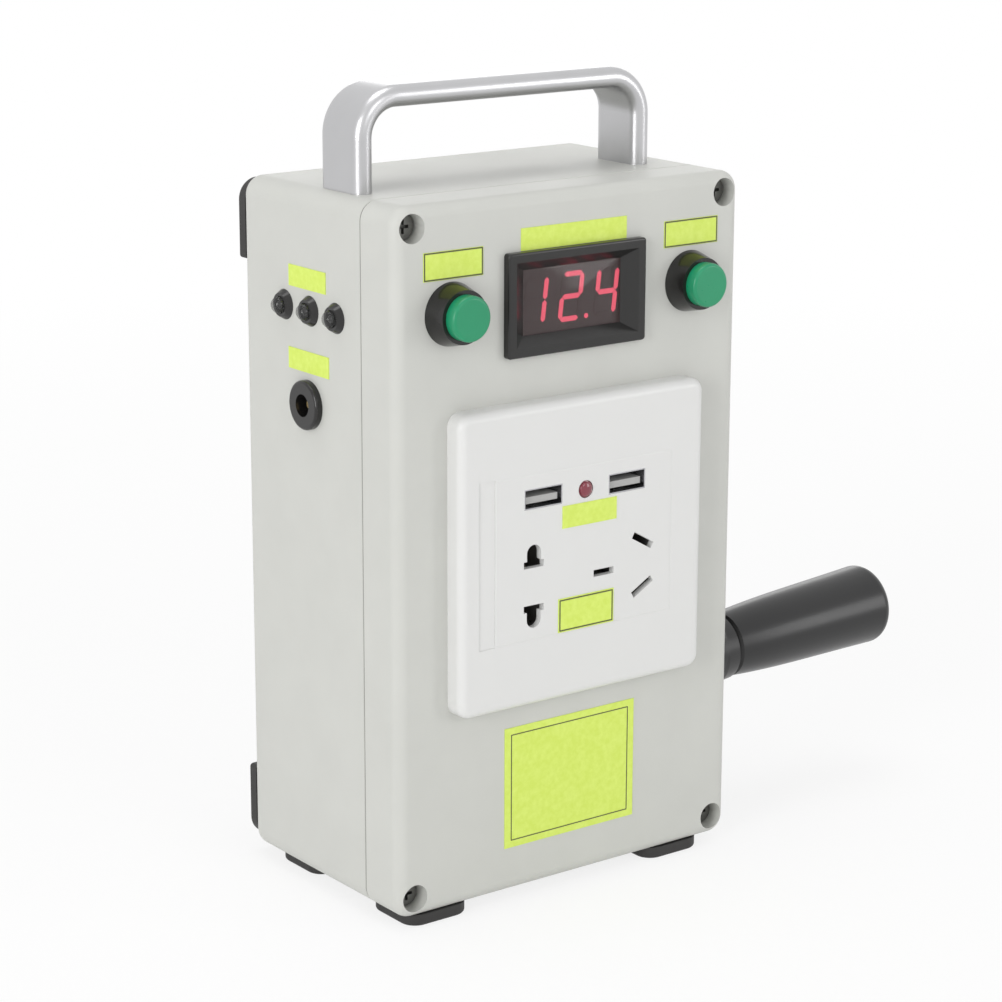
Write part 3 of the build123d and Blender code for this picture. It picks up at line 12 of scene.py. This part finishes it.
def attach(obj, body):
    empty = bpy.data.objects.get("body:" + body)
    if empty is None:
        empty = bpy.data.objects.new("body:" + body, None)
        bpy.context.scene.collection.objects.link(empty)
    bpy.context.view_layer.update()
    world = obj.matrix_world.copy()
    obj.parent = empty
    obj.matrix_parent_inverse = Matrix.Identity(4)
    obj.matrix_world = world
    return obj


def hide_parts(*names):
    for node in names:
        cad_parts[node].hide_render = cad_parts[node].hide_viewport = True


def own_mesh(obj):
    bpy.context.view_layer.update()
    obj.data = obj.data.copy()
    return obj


MM = 0.001
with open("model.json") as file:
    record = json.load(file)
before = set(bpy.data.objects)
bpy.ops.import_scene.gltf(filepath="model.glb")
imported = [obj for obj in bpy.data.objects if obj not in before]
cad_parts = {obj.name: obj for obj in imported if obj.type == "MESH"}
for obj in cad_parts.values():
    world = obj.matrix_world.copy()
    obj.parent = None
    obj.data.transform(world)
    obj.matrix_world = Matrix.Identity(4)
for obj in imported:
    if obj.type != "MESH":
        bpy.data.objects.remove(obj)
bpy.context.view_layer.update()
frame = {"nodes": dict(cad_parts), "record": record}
record = frame["record"]
nodes = frame["nodes"]


# ---------------------------------------------------------------- materials
class Num:
    """A socket of a material. Sums, differences and products of number sockets are Math nodes."""

    def __init__(self, paint, socket):
        self.paint = paint
        self.socket = socket

    def math(self, operation, first, second):
        return self.paint.node("ShaderNodeMath", {"operation": operation}, {0: first, 1: second})

    def __add__(self, other):
        return self.math("ADD", self, other)

    def __sub__(self, other):
        return self.math("SUBTRACT", self, other)

    def __rsub__(self, other):
        return self.math("SUBTRACT", other, self)

    def __mul__(self, other):
        return self.math("MULTIPLY", self, other)

    __radd__ = __add__
    __rmul__ = __mul__


class Paint:
    """A material under construction. node() adds any node: its settings first, then its sockets."""

    def __init__(self, name, tree=None):
        if tree is None:
            self.material = bpy.data.materials.new(name)
            self.material.use_nodes = True
            tree = self.material.node_tree
        self.tree = tree
        self.tree.nodes.clear()

    def node(self, kind, settings=None, sockets=None, output=0):
        made = self.tree.nodes.new(kind)
        for name, value in (settings or {}).items():
            setattr(made, name, value)
        for name, value in (sockets or {}).items():
            if isinstance(value, Num):
                self.tree.links.new(value.socket, made.inputs[name])
            else:
                made.inputs[name].default_value = value
        return Num(self, made.outputs[output]) if made.outputs else None

    def place(self):
        """Object coordinates, in metres in the frame."""
        return self.node("ShaderNodeTexCoord", output="Object")

    def noise(self, size, detail, stretch=None, roughness=0.5):
        """Noise from 0 to 1: grains about size millimetres across, longer along an axis by stretch."""
        where = self.place()
        if stretch:
            scale = [1 / part for part in stretch]
            where = self.node("ShaderNodeVectorMath", {"operation": "MULTIPLY"}, {0: where, 1: scale})
        sockets = {"Vector": where, "Scale": 1 / (size * MM), "Detail": detail, "Roughness": roughness}
        return self.node("ShaderNodeTexNoise", None, sockets)

    def mix(self, share, first, second):
        """Colour between two colours."""
        settings = {"data_type": "RGBA", "clamp_factor": True}
        return self.node("ShaderNodeMix", settings, {0: share, 6: colour4(first), 7: colour4(second)}, 2)

    def contrast(self, value, low, high):
        """Stretches the part of value between low and high over 0 to 1."""
        sockets = {"Value": value, "From Min": low, "From Max": high}
        return self.node("ShaderNodeMapRange", {"clamp": True}, sockets)

    def bump(self, height, depth, strength):
        """Normal of a surface whose height map is depth millimetres deep."""
        sockets = {"Strength": strength, "Distance": depth * MM, "Height": height}
        return self.node("ShaderNodeBump", None, sockets)

    def finish(self, **sockets):
        """Principled surface with these sockets; returns the material."""
        named = {name.replace("_", " "): value for name, value in sockets.items()}
        surface = self.node("ShaderNodeBsdfPrincipled", None, named)
        self.node("ShaderNodeOutputMaterial", None, {"Surface": surface})
        return self.material


def colour4(value):
    """Colour with alpha 1, or the socket itself."""
    if isinstance(value, Num):
        return value
    return (*value, 1.0)


def shaded(colour, factor):
    """The same hue, lighter or darker."""
    return tuple(part * factor for part in colour)


# Sizes in millimetres of what varies over the materials, the ranges of noise that show, and the warmer ink.
cloud_size = 14.0
metal_cloud_size = 9.0
handled_size = 32.0
clouding = (0.3, 0.7)
handling = (0.42, 0.68)
fibre_size = 0.5
ink_size = 1.6
ink_warmth = (1.03, 1.01, 1.35)
dust_size = 2.5
haze_size = 1.2


def moulded(name, colour, roughness, grain, depth, cloud, specular=0.5, coat=0.0, spread=0.16):
    """Moulded plastic or rubber: faint clouding, fine spark-eroded grain, and a roughness that follows the
    grain and drops where the part is handled. spread is how far the roughness follows."""
    paint = Paint(name)
    cloudy = paint.contrast(paint.noise(cloud_size, 3.0), *clouding)
    grains = paint.noise(grain, 3.0, roughness=0.6)
    handled = paint.contrast(paint.noise(handled_size, 2.0), *handling)
    body = paint.mix(cloudy, shaded(colour, 1 - cloud), shaded(colour, 1 + cloud))
    body = paint.mix(grains * 0.35, body, shaded(colour, 1 - 2 * cloud))
    return paint.finish(
        Base_Color=body,
        Roughness=roughness + (grains - 0.5) * spread - handled * (spread * 0.3),
        Specular_IOR_Level=specular,
        Coat_Weight=coat,
        Coat_Roughness=0.12,
        Normal=paint.bump(grains, depth, 0.6),
    )


def metal(name, colour, roughness, grain=0.15, stretch=None, depth=0.002, cloud=0.05, metallic=1.0):
    """Bare metal: brushed or rolled grain along stretch, faint clouding in its colour and roughness."""
    paint = Paint(name)
    lines = paint.noise(grain, 4.0, stretch)
    cloudy = paint.contrast(paint.noise(metal_cloud_size, 3.0), *clouding)
    body = paint.mix(cloudy, shaded(colour, 1 - cloud), shaded(colour, 1 + cloud))
    body = paint.mix(lines * 0.4, body, shaded(colour, 1 - 2 * cloud))
    return paint.finish(
        Base_Color=body,
        Metallic=metallic,
        Roughness=roughness + (lines - 0.5) * 0.18 + cloudy * 0.04,
        Normal=paint.bump(lines, depth, 0.5),
    )


def printed_film(name, colour):
    """Printed paper film: mottled by its fibres, with slightly uneven, warmer ink."""
    paint = Paint(name)
    fibres = paint.noise(fibre_size, 4.0, roughness=0.65)
    blotches = paint.contrast(paint.noise(ink_size, 3.0), 0.35, 0.7)
    warmer = tuple(part * share for part, share in zip(colour, ink_warmth))
    ink = paint.mix(blotches, shaded(colour, 0.95), warmer)
    ink = paint.mix(paint.contrast(fibres, 0.5, 0.75) * 0.3, ink, shaded(colour, 0.92))
    return paint.finish(
        Base_Color=ink,
        Roughness=0.55 + (fibres - 0.5) * 0.2,
        Normal=paint.bump(fibres, 0.01, 0.5),
    )


def clear(name, colour, alpha):
    """Clear resin or acrylic: see-through, smooth, with a little dust in its colour and roughness."""
    paint = Paint(name)
    dust = paint.contrast(paint.noise(dust_size, 4.0), 0.45, 0.75)
    tint = paint.mix(dust * 0.3, colour, shaded(colour, 1.25))
    return paint.finish(Base_Color=tint, Alpha=alpha, Roughness=0.05 + dust * 0.03, Specular_IOR_Level=0.6)


def glowing(name, colour, strength):
    """Part of the display: it glows in its colour, a little unevenly, over a darker face. On the lit bars
    the glow is their own light; on the unlit bars and the display face it is a painted glow.
    """
    paint = Paint(name)
    haze = paint.noise(haze_size, 2.0)
    glow = paint.mix(haze * 0.5, colour, shaded(colour, 0.8))
    face = colour4(shaded(colour, 0.4))
    return paint.finish(Base_Color=face, Emission_Color=glow, Emission_Strength=strength, Roughness=0.4)


case_colour = (0.578, 0.582, 0.55)
materials = {
    "case_grey": moulded("case_grey", case_colour, roughness=0.5, grain=0.5, depth=0.012, cloud=0.018,
                         specular=0.4),
    "black_rubber": moulded("black_rubber", (0.032, 0.031, 0.03), roughness=0.62, grain=0.7, depth=0.02,
                            cloud=0.12, specular=0.4),
    "satin_aluminium": metal("satin_aluminium", (0.53, 0.53, 0.54), roughness=0.3, grain=0.12, depth=0.0015,
                             cloud=0.02),
    "steel": metal("steel", (0.58, 0.58, 0.6), roughness=0.3),
    "core_steel": metal("core_steel", (0.34, 0.34, 0.36), roughness=0.42, grain=0.35,
                        stretch=(0.2, 8.0, 8.0), depth=0.02),
    "screw_black": metal("screw_black", (0.19, 0.19, 0.18), roughness=0.4),
    "black_plastic": moulded("black_plastic", (0.013, 0.0125, 0.012), roughness=0.2, grain=2.5, depth=0.002,
                             cloud=0.05),
    "grip_black": moulded("grip_black", (0.012, 0.012, 0.0125), roughness=0.3, grain=3.0, depth=0.001,
                          cloud=0.05, spread=0.05),
    "cap_green": moulded("cap_green", (0.008, 0.265, 0.12), roughness=0.34, grain=1.0, depth=0.004,
                         cloud=0.04),
    "plate_white": moulded("plate_white", (0.71, 0.71, 0.7), roughness=0.32, grain=0.8, depth=0.0004,
                           cloud=0.006, spread=0.03),
    "base_white": moulded("base_white", (0.74, 0.74, 0.72), roughness=0.45, grain=0.5, depth=0.01,
                          cloud=0.02),
    "label_yellow": printed_film("label_yellow", (0.66, 0.82, 0.12)),
    "lamp_clear": clear("lamp_clear", (0.07, 0.07, 0.07), alpha=0.4),
    "window_smoke": clear("window_smoke", (0.04, 0.025, 0.025), alpha=0.25),
    "display_dark": moulded("display_dark", (0.075, 0.05, 0.048), roughness=0.45, grain=3.0, depth=0.001,
                            cloud=0.03),
    "brass": metal("brass", (0.72, 0.55, 0.26), roughness=0.3),
    "copper": metal("copper", (0.66, 0.3, 0.15), roughness=0.32, grain=0.45, stretch=(8.0, 1.0, 1.0),
                    depth=0.05),
    "port_metal": metal("port_metal", (0.5, 0.5, 0.52), roughness=0.24),
    "gear_nylon": moulded("gear_nylon", (0.8, 0.78, 0.7), roughness=0.45, grain=0.6, depth=0.01,
                          cloud=0.03),
    "board_green": moulded("board_green", (0.03, 0.2, 0.07), roughness=0.3, grain=1.4, depth=0.02,
                           cloud=0.14),
    "magnet_grey": metal("magnet_grey", (0.14, 0.14, 0.15), roughness=0.55, grain=0.4, depth=0.01,
                         cloud=0.1, metallic=0.6),
    "carbon": moulded("carbon", (0.04, 0.04, 0.042), roughness=0.5, grain=0.3, depth=0.01, cloud=0.15),
    "transformer_yellow": moulded("transformer_yellow", (0.72, 0.52, 0.06), roughness=0.4, grain=1.2,
                                  depth=0.02, cloud=0.05),
    "capacitor_black": moulded("capacitor_black", (0.03, 0.03, 0.07), roughness=0.28, grain=0.5,
                               depth=0.006, cloud=0.1),
    "wire_red": moulded("wire_red", (0.5, 0.03, 0.03), roughness=0.4, grain=0.5, depth=0.006, cloud=0.06),
}
for part in record["subparts"]:
    nodes[part["node"]].material_slots[0].material = materials[part["material_slot"]]

lit_red = glowing("lit_red", (1.0, 0.13, 0.2), strength=1.2)
# The unlit bars glow as faintly as the display face behind them: a painted glow, so they don't show darker
# on it.
unlit_red_painted_glow = glowing("unlit_red_painted_glow", (0.05, 0.034, 0.034), strength=1.0)
border_ink = moulded("border_ink", (0.09, 0.1, 0.035), roughness=0.5, grain=1.0, depth=0.002, cloud=0.1)
lamp_red = moulded("lamp_red", (0.2, 0.018, 0.035), roughness=0.16, grain=2.0, depth=0.001, cloud=0.05,
                   coat=0.6)
lamp_core = moulded("lamp_core", (0.012, 0.012, 0.012), roughness=0.3, grain=1.0, depth=0.001, cloud=0.1)
# Painted shade: a dark grey for the socket base, which shows only in the slots.
slot_shade = moulded("slot_shade", (0.16, 0.155, 0.15), roughness=0.6, grain=1.0, depth=0.002, cloud=0.05,
                     specular=0.2)
# Painted shade: the parting seam is a dark grey ring in the gap between the case halves, where only shade
# falls.
seam_painted_shade = moulded("seam_painted_shade", (0.22, 0.215, 0.2), roughness=0.7, grain=1.0, depth=0.002, cloud=0.05,
                    specular=0.2)
# The display face glows faintly and evenly: a painted glow that stands for the haze of the lit digits and
# evens out the shade on the face.
display_painted_glow = glowing("display_painted_glow", (0.054, 0.038, 0.038), strength=1.0)
# Painted shade: the port tongues are made greyer, as they sit in shade inside the ports.
tongue_painted_shade = moulded("tongue_painted_shade", (0.42, 0.42, 0.41), roughness=0.5, grain=1.0, depth=0.002, cloud=0.03,
                      specular=0.3)
# These two nodes show only in the plate's openings, in shade, so they get darker colours of their own:
# painted shade.
nodes["socket_base"].material_slots[0].material = slot_shade
nodes["port_tongues"].material_slots[0].material = tongue_painted_shade


# ---------------------------------------------------------------- surfaces
sharp_angle = 35.0
nose_steps = 12
# Turned shapes end in a tiny ring of this radius, and an outline's corner is never sharper than this.
pole = 0.02
least_corner = 0.05


def box(name):
    """Low and high corner of a CAD node in millimetres, rounded to a thousandth."""
    vertices = nodes[name].data.vertices
    points = np.empty(3 * len(vertices))
    vertices.foreach_get("co", points)
    points = points.reshape(-1, 3) / MM
    return np.round(points.min(axis=0), 3), np.round(points.max(axis=0), 3)


def skin(rings, loop=False):
    """Points and faces of a skin over rings[i, j]: ring i is joined to ring i + 1 by quads. The first and
    last rings are closed by fans to their middles, or joined to each other where the skin is a loop. Faces
    that would point inwards are turned round."""
    count, around = rings.shape[:2]
    index = np.arange(count * around).reshape(count, around)
    if loop:
        index = np.vstack([index, index[:1]])
    turned_on = np.roll(index, -1, axis=1)
    quads = np.stack([index[:-1], turned_on[:-1], turned_on[1:], index[1:]], -1).reshape(-1, 4)
    points = rings.reshape(-1, 3)
    faces = quads.tolist()
    if not loop:
        middles = rings[[0, -1]].mean(axis=1)
        for ring, follows, middle in ((index[0], turned_on[0], 0), (turned_on[-1], index[-1], 1)):
            centre = np.full(around, len(points) + middle)
            faces += np.stack([centre, follows, ring], -1).tolist()
        points = np.vstack([points, middles])
    corners = points[quads]
    across = np.cross(corners[:, 2] - corners[:, 0], corners[:, 3] - corners[:, 1])
    volume = (across * (corners.mean(axis=1) - points.mean(axis=0))).sum()
    if volume < 0:
        faces = [face[::-1] for face in faces]
    return points, faces


def mesh(name, skins, material, body, replaced=()):
    """Piece made of closed skins in millimetres. It rides on a body and may stand for CAD nodes. Its shading
    is smooth but for the edges that turn by more than the sharp angle."""
    points = []
    faces = []
    start = 0
    for skin_points, skin_faces in skins:
        points.append(skin_points)
        faces += [[corner + start for corner in face] for face in skin_faces]
        start += len(skin_points)
    data = bpy.data.meshes.new(name)
    data.from_pydata((np.vstack(points) * MM).tolist(), [], faces)
    data.polygons.foreach_set("use_smooth", np.ones(len(faces), dtype=bool))
    data.set_sharp_from_angle(angle=math.radians(sharp_angle))
    data.materials.append(material)
    piece = bpy.data.objects.new(name, data)
    bpy.context.scene.collection.objects.link(piece)
    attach(piece, body)
    if replaced:
        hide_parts(*replaced)
    return piece


def turned(profile, origin, axis, around):
    """Rings of a turned shape about a level axis. Each profile row is (distance along the axis, radius): its
    ring is the origin plus the distance times the axis plus the radius times a spoke that goes once round
    the axis."""
    axis = np.asarray(axis, float)
    side = np.cross(axis, (0.0, 0.0, 1.0))
    other = np.cross(axis, side)
    angle = np.linspace(0, 2 * math.pi, around, endpoint=False)
    spokes = np.cos(angle)[:, None] * side + np.sin(angle)[:, None] * other
    profile = np.asarray(profile, float)
    return np.asarray(origin, float) + profile[:, :1, None] * axis + profile[:, 1:, None] * spokes


def rounded_outline(width, height, radius, steps):
    """Rounded rectangle about the middle: quarter circles at the corners, joined by straight sides."""
    angle = np.linspace(0, math.pi / 2, steps)
    arc = radius * np.stack([np.cos(angle), np.sin(angle)], -1)
    inner = np.array([width / 2 - radius, height / 2 - radius])
    quarters = []
    for turn, side in enumerate(((1, 1), (-1, 1), (-1, -1), (1, -1))):
        cosine, sine = math.cos(turn * math.pi / 2), math.sin(turn * math.pi / 2)
        quarters.append(inner * side + arc @ np.array([[cosine, sine], [-sine, cosine]]))
    return np.vstack(quarters)


def framed(profile, middle, width, height, radius, steps=6):
    """Rings of a moulding that faces the front. Each profile row is (inset from the edge, depth Y): its ring
    is the rounded outline about the middle (X, Z), drawn in by the inset on every side, at that depth."""
    rings = []
    for inset, depth in profile:
        corner = max(radius - inset, least_corner)
        outline = rounded_outline(width - 2 * inset, height - 2 * inset, corner, steps)
        flat = np.full(len(outline), float(depth))
        rings.append(np.stack([outline[:, 0] + middle[0], flat, outline[:, 1] + middle[1]], -1))
    return np.stack(rings)


def dome(radius, back, base, tip):
    """Profile of a round-nosed body: a straight side from back to base, then a quarter ellipse up to tip."""
    angle = np.linspace(0, math.pi / 2, nose_steps)[:-1]
    nose = np.stack([base + (tip - base) * np.sin(angle), radius * np.cos(angle)], -1)
    return np.vstack([[(back, pole), (back, radius)], nose, [(tip, pole)]])


# ---------------------------------------------------------------- sizes of the case, from the frame
case_low, case_high = box("front_cover")
case_front = case_low[1]
case_side = case_low[0]
case_width = case_high[0] - case_low[0]
case_height = case_high[2] - case_low[2]
case_middle = (0, (case_low[2] + case_high[2]) / 2)
case_corner = 5.5
parting = case_high[1]
plate_front = box("socket_cover")[0][1]
window_low, window_high = box("meter_window")
window_front = window_low[1]
window_width = window_high[0] - window_low[0]
window_height = window_high[2] - window_low[2]
panel_z = (window_low[2] + window_high[2]) / 2

# ---------------------------------------------------------------- meter
numerals = {"1": "bc", "2": "abged", "4": "fgbc"}
all_bars = "abcdefg"
reading = "124"
digit_pitch = 12.4
digit_shift = 0.3
bars_front = -36.08
bars_back = -35.9
digit = {"width": 6.4, "height": 12.5, "half": 0.7, "gap": 0.1, "lean": 0.12}
point_radius = 0.7
point_height = 0.3
point_place = (5.6, bars_front, panel_z - 6.1)
window_corner = 0.8
face_margin = 0.05
face_back = -35.62
face_front = -35.95
face_back_bevel = (0.05, 0.04)
face_front_bevel = (0.05, 0.05)
pane_back = -36.2
pane_back_bevel = (0.3, 0.05)
pane_front_bevel = (0.15, 0.1)


def stroke(start, end, half, gap, lean):
    """Segment bar: a flat six-sided slab from start to end, short of both by the gap and pointed at both
    ends. half is half its breadth. It is sheared sideways by lean times its height."""
    start = np.asarray(start, float)
    end = np.asarray(end, float)
    run = (end - start) / np.linalg.norm(end - start)
    side = np.array([-run[1], run[0]]) * half
    first = start + run * gap
    last = end - run * gap
    flat = np.stack([first, first + run * half + side, last - run * half + side, last,
                     last - run * half - side, first + run * half - side])
    flat[:, 0] += flat[:, 1] * lean
    across = flat[:, 0]
    up = flat[:, 1]
    return np.stack([np.stack([across, np.full(6, depth), up], -1) for depth in (bars_back, bars_front)])


def numeral(bars, middle, width, height, half, gap, lean):
    """Skins of the named bars of a seven-bar numeral about its middle (X, Z)."""
    right = width / 2
    top = height / 2
    ends = {
        "a": ((-right, top), (right, top)),
        "b": ((right, top), (right, 0)),
        "c": ((right, 0), (right, -top)),
        "d": ((-right, -top), (right, -top)),
        "e": ((-right, 0), (-right, -top)),
        "f": ((-right, top), (-right, 0)),
        "g": ((-right, 0), (right, 0)),
    }
    offset = np.array([middle[0], 0, middle[1]])
    return [skin(stroke(*ends[bar], half, gap, lean) + offset) for bar in bars]


def bevelled(back, back_bevel, front, front_bevel):
    """Profile of a flat sheet from back to front. A bevel is the (inset, depth) taken off an edge."""
    return [(back_bevel[0], back), (0, back - back_bevel[1]), (0, front + front_bevel[1]),
            (front_bevel[0], front)]


lit = []
unlit = []
for step, shown in zip((-1, 0, 1), reading):
    middle = (step * digit_pitch + digit_shift, panel_z)
    lit += numeral(numerals[shown], middle, **digit)
    unlit += numeral([bar for bar in all_bars if bar not in numerals[shown]], middle, **digit)
disc = [(0, pole), (0, point_radius), (point_height, point_radius), (point_height, pole)]
lit.append(skin(turned(disc, point_place, (0, 1, 0), around=20)))
mesh("lit_bars", lit, lit_red, "housing")
# The unlit bars carry a painted glow.
mesh("unlit_bars", unlit, unlit_red_painted_glow, "housing")

face_profile = bevelled(face_back, face_back_bevel, face_front, face_front_bevel)
face = framed(face_profile, (0, panel_z), window_width - 2 * face_margin, window_height - 2 * face_margin,
              window_corner)
# The display face carries a painted glow.
mesh("display_face", [skin(face)], display_painted_glow, "housing")

pane_profile = bevelled(pane_back, pane_back_bevel, window_front, pane_front_bevel)
pane = framed(pane_profile, (0, panel_z), window_width, window_height, window_corner)
mesh("smoky_pane", [skin(pane)], materials["window_smoke"], "housing", ["meter_window"])


# ---------------------------------------------------------------- return springs
button_offset = 41.5
spring_radius = 4.4
spring_wire = 0.4
spring_start = -41.1
spring_length = 9.8
spring_turns = 4
steps_a_turn = 24
steps_round_wire = 10


def coil(x, z):
    """Rings of a coil spring along Y: circles of the wire's radius on a helix, square to its direction."""
    angle = np.linspace(0, 2 * math.pi * spring_turns, steps_a_turn * spring_turns + 1)
    still = np.zeros_like(angle)
    climb = spring_length / angle[-1]
    spoke = np.stack([np.cos(angle), still, np.sin(angle)], -1)
    path = spring_radius * spoke + np.stack([still + x, spring_start + climb * angle, still + z], -1)
    ahead = np.stack([-spring_radius * np.sin(angle), still + climb, spring_radius * np.cos(angle)], -1)
    ahead /= np.linalg.norm(ahead, axis=1, keepdims=True)
    across = np.cross(ahead, spoke)
    turn = np.linspace(0, 2 * math.pi, steps_round_wire, endpoint=False)[None, :, None]
    return path[:, None] + spring_wire * (np.cos(turn) * spoke[:, None] + np.sin(turn) * across[:, None])


for side, x in (("left", -button_offset), ("right", button_offset)):
    spring = mesh(side + "_return_spring", [skin(coil(x, panel_z))], materials["steel"],
                  "housing", [side + "_button_spring"])
    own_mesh(spring)


# ---------------------------------------------------------------- labels
film = 0.2
broad_line = 0.42
fine_line = 0.34
line_height = 0.03
line_root = 0.02
frame_corner = 0.25
over_left_button = {"middle": (-40.9, 186.9), "width": 19.4, "height": 7.6}
over_right_button = {"middle": (41.8, 187.5), "width": 19.4, "height": 7.4}
under_plate = {"middle": (0, 34.9), "width": 42.4, "height": 31.8}
on_plate = {"middle": (0.4, 85.0), "width": 19.1, "height": 9.2}


def border(line, under, middle, width, height):
    """Printed frame: a thin closed moulding, line wide, a hair proud of the film on the face under it."""
    root = under - film + line_root
    top = under - film - line_height
    profile = [(0, root), (0, top), (line, top), (line, root)]
    return skin(framed(profile, middle, width, height, frame_corner), loop=True)


frames = [
    border(broad_line, case_front, **over_left_button),
    border(broad_line, case_front, **over_right_button),
    border(fine_line, case_front, **under_plate),
    border(broad_line, plate_front, **on_plate),
]
mesh("label_frames", frames, border_ink, "housing")


# ---------------------------------------------------------------- lamps
lamp_radius = 2.45
lamp_back = -4.0
lamp_tip = 4.2
lamp_z = 170.0
lamp_middle_y = 3.1
lamp_pitch = 12.7
lamp_places = [(case_side, lamp_middle_y + step * lamp_pitch, lamp_z) for step in (-1, 0, 1)]
core = {"radius": 1.25, "back": 0.3, "base": 1.4, "tip": 2.3}
plate_lamp_z = 120.2
plate_lamp_back = -3.0
plate_lamp_shoulder = -0.3
plate_lamp_head = {"radius": 2.1, "back": -0.2, "base": 0.1, "tip": 0.8}

outward = (-1, 0, 0)
lens_profile = dome(lamp_radius, lamp_back, lamp_tip - lamp_radius, lamp_tip)
core_profile = dome(**core)
lenses = [skin(turned(lens_profile, place, outward, around=40)) for place in lamp_places]
cores = [skin(turned(core_profile, place, outward, around=24)) for place in lamp_places]
stem = [(plate_lamp_back, pole), (plate_lamp_back, lamp_radius), (plate_lamp_shoulder, lamp_radius)]
plate_profile = np.vstack([stem, dome(**plate_lamp_head)[1:]])
plate_lamp = skin(turned(plate_profile, (0, plate_front, plate_lamp_z), (0, -1, 0), around=40))
mesh("lamp_lenses", lenses, materials["lamp_clear"], "housing", ["lamp_leds"])
mesh("lamp_cores", cores, lamp_core, "housing")
mesh("plate_lamp", [plate_lamp], lamp_red, "housing")


# ---------------------------------------------------------------- seams
seam_half = 0.3
seam_top = 0.2
seam_root = 0.9
insert_width = 62.6
insert_height = 47.6
insert_corner = 0.1
insert_overlap = 0.02
insert_reach = 0.34
insert_top = plate_front + 0.04
insert_root = plate_front + 1.1


def seam(outer, inner, front, back):
    """Profile of a ring with a four-sided section, from outer to inner inset and from front to back."""
    return [(outer, front), (outer, back), (inner, back), (inner, front)]


# The parting ring's dark grey is painted shade in the gap.
parting_ring = framed(seam(seam_top, seam_root, parting - seam_half, parting + seam_half), case_middle,
                      case_width, case_height, case_corner, steps=16)
mesh("parting_seam", [skin(parting_ring, loop=True)], seam_painted_shade, "housing")
insert_ring = framed(seam(-insert_overlap, insert_reach, insert_top, insert_root), case_middle,
                     insert_width, insert_height, insert_corner, steps=4)
mesh("insert_seam", [skin(insert_ring, loop=True)], materials["plate_white"], "housing")


# ---------------------------------------------------------------- camera, light, floor
camera_place = Vector((-490.7, -657.7, 324.2)) * MM
camera_target = Vector((0.98, 0.0, 111.12)) * MM
camera_roll = math.radians(0.124)
focal_length = 104.96
sensor_width = 36.0
picture_shift = (0.0065, -0.0126)
farthest = 20.0
object_middle = Vector((0, 0, 0.11))
ambient = 0.6
floor_half = 6
floor_colour = (0.93, 0.93, 0.93, 1)
white_near = 0.25
white_far = 0.9
least_white = 0.8
white = (1, 1, 1, 1)


def aim(eye, target, roll):
    """World matrix of a camera at eye that looks at target, turned by roll about its own line of sight."""
    ahead = (target - eye).normalized()
    right = ahead.cross(Vector((0, 0, 1))).normalized()
    up = right.cross(ahead)
    rolled = right * math.cos(roll) + up * math.sin(roll)
    raised = up * math.cos(roll) - right * math.sin(roll)
    turn = Matrix((rolled, raised, -ahead)).transposed().to_4x4()
    return Matrix.Translation(eye) @ turn


optics = bpy.data.cameras.new("camera")
optics.lens = focal_length
optics.sensor_width = sensor_width
optics.shift_x, optics.shift_y = picture_shift
optics.clip_end = farthest
camera = bpy.data.objects.new("camera", optics)
bpy.context.scene.collection.objects.link(camera)
camera.matrix_world = aim(camera_place, camera_target, camera_roll)
bpy.context.scene.camera = camera


def soft_light(name, place, size, power):
    """Soft light of an oblong panel, place and size in metres, that faces the middle of the object."""
    data = bpy.data.lights.new(name, "AREA")
    data.shape = "RECTANGLE"
    data.size, data.size_y = size
    data.energy = power
    made = bpy.data.objects.new(name, data)
    bpy.context.scene.collection.objects.link(made)
    made.matrix_world = aim(Vector(place), object_middle, 0)


soft_light("left_lamp", place=(-1.5, -0.6, 0.5), size=(0.5, 0.9), power=10.5)
soft_light("front_lamp", place=(0.1, -1.7, 0.9), size=(0.6, 0.6), power=3.2)
soft_light("right_lamp", place=(1.1, -1.2, 0.4), size=(0.35, 0.7), power=3.0)
soft_light("top_lamp", place=(-0.1, 0.1, 1.6), size=(0.8, 0.8), power=5.5)
soft_light("back_lamp", place=(1.0, 1.3, 0.5), size=(0.8, 0.5), power=1.5)

world = bpy.data.worlds.new("studio")
world.use_nodes = True
bpy.context.scene.world = world
sky = Paint("studio", world.node_tree)


def seen(paint):
    """1 for rays that show the background as it is, from the camera, off gloss or through clear pieces, and
    0 for the rays that only carry its light."""
    rays = [paint.node("ShaderNodeLightPath", output=name) for name in
            ("Is Camera Ray", "Is Glossy Ray", "Is Transmission Ray")]
    count = rays[0] + rays[1] + rays[2]
    return count.math("MINIMUM", count, 1.0)


backdrop = {"Color": white, "Strength": seen(sky) * (1 - ambient) + ambient}
sky.node("ShaderNodeOutputWorld", None, {"Surface": sky.node("ShaderNodeBackground", None, backdrop)})

floor_paint = Paint("pale_floor")
matt = floor_paint.node("ShaderNodeBsdfDiffuse", None, {"Color": floor_colour})
glow = floor_paint.node("ShaderNodeEmission", None, {"Color": white, "Strength": 1.0})
reach = floor_paint.node("ShaderNodeVectorMath", {"operation": "LENGTH"}, {0: floor_paint.place()}, 1)
far = floor_paint.contrast(reach, white_near, white_far)
share = seen(floor_paint) * (far * (1 - least_white) + least_white)
blend = floor_paint.node("ShaderNodeMixShader", None, {0: share, 1: matt, 2: glow})
floor_paint.node("ShaderNodeOutputMaterial", None, {"Surface": blend})
floor_corners = [(floor_half * x, floor_half * y, 0) for x, y in ((-1, -1), (1, -1), (1, 1), (-1, 1))]
floor_data = bpy.data.meshes.new("pale_floor")
floor_data.from_pydata(floor_corners, [], [(0, 1, 2, 3)])
floor_data.materials.append(floor_paint.material)
floor = bpy.data.objects.new("pale_floor", floor_data)
bpy.context.scene.collection.objects.link(floor)

view = bpy.context.scene.view_settings
view.view_transform = "Standard"
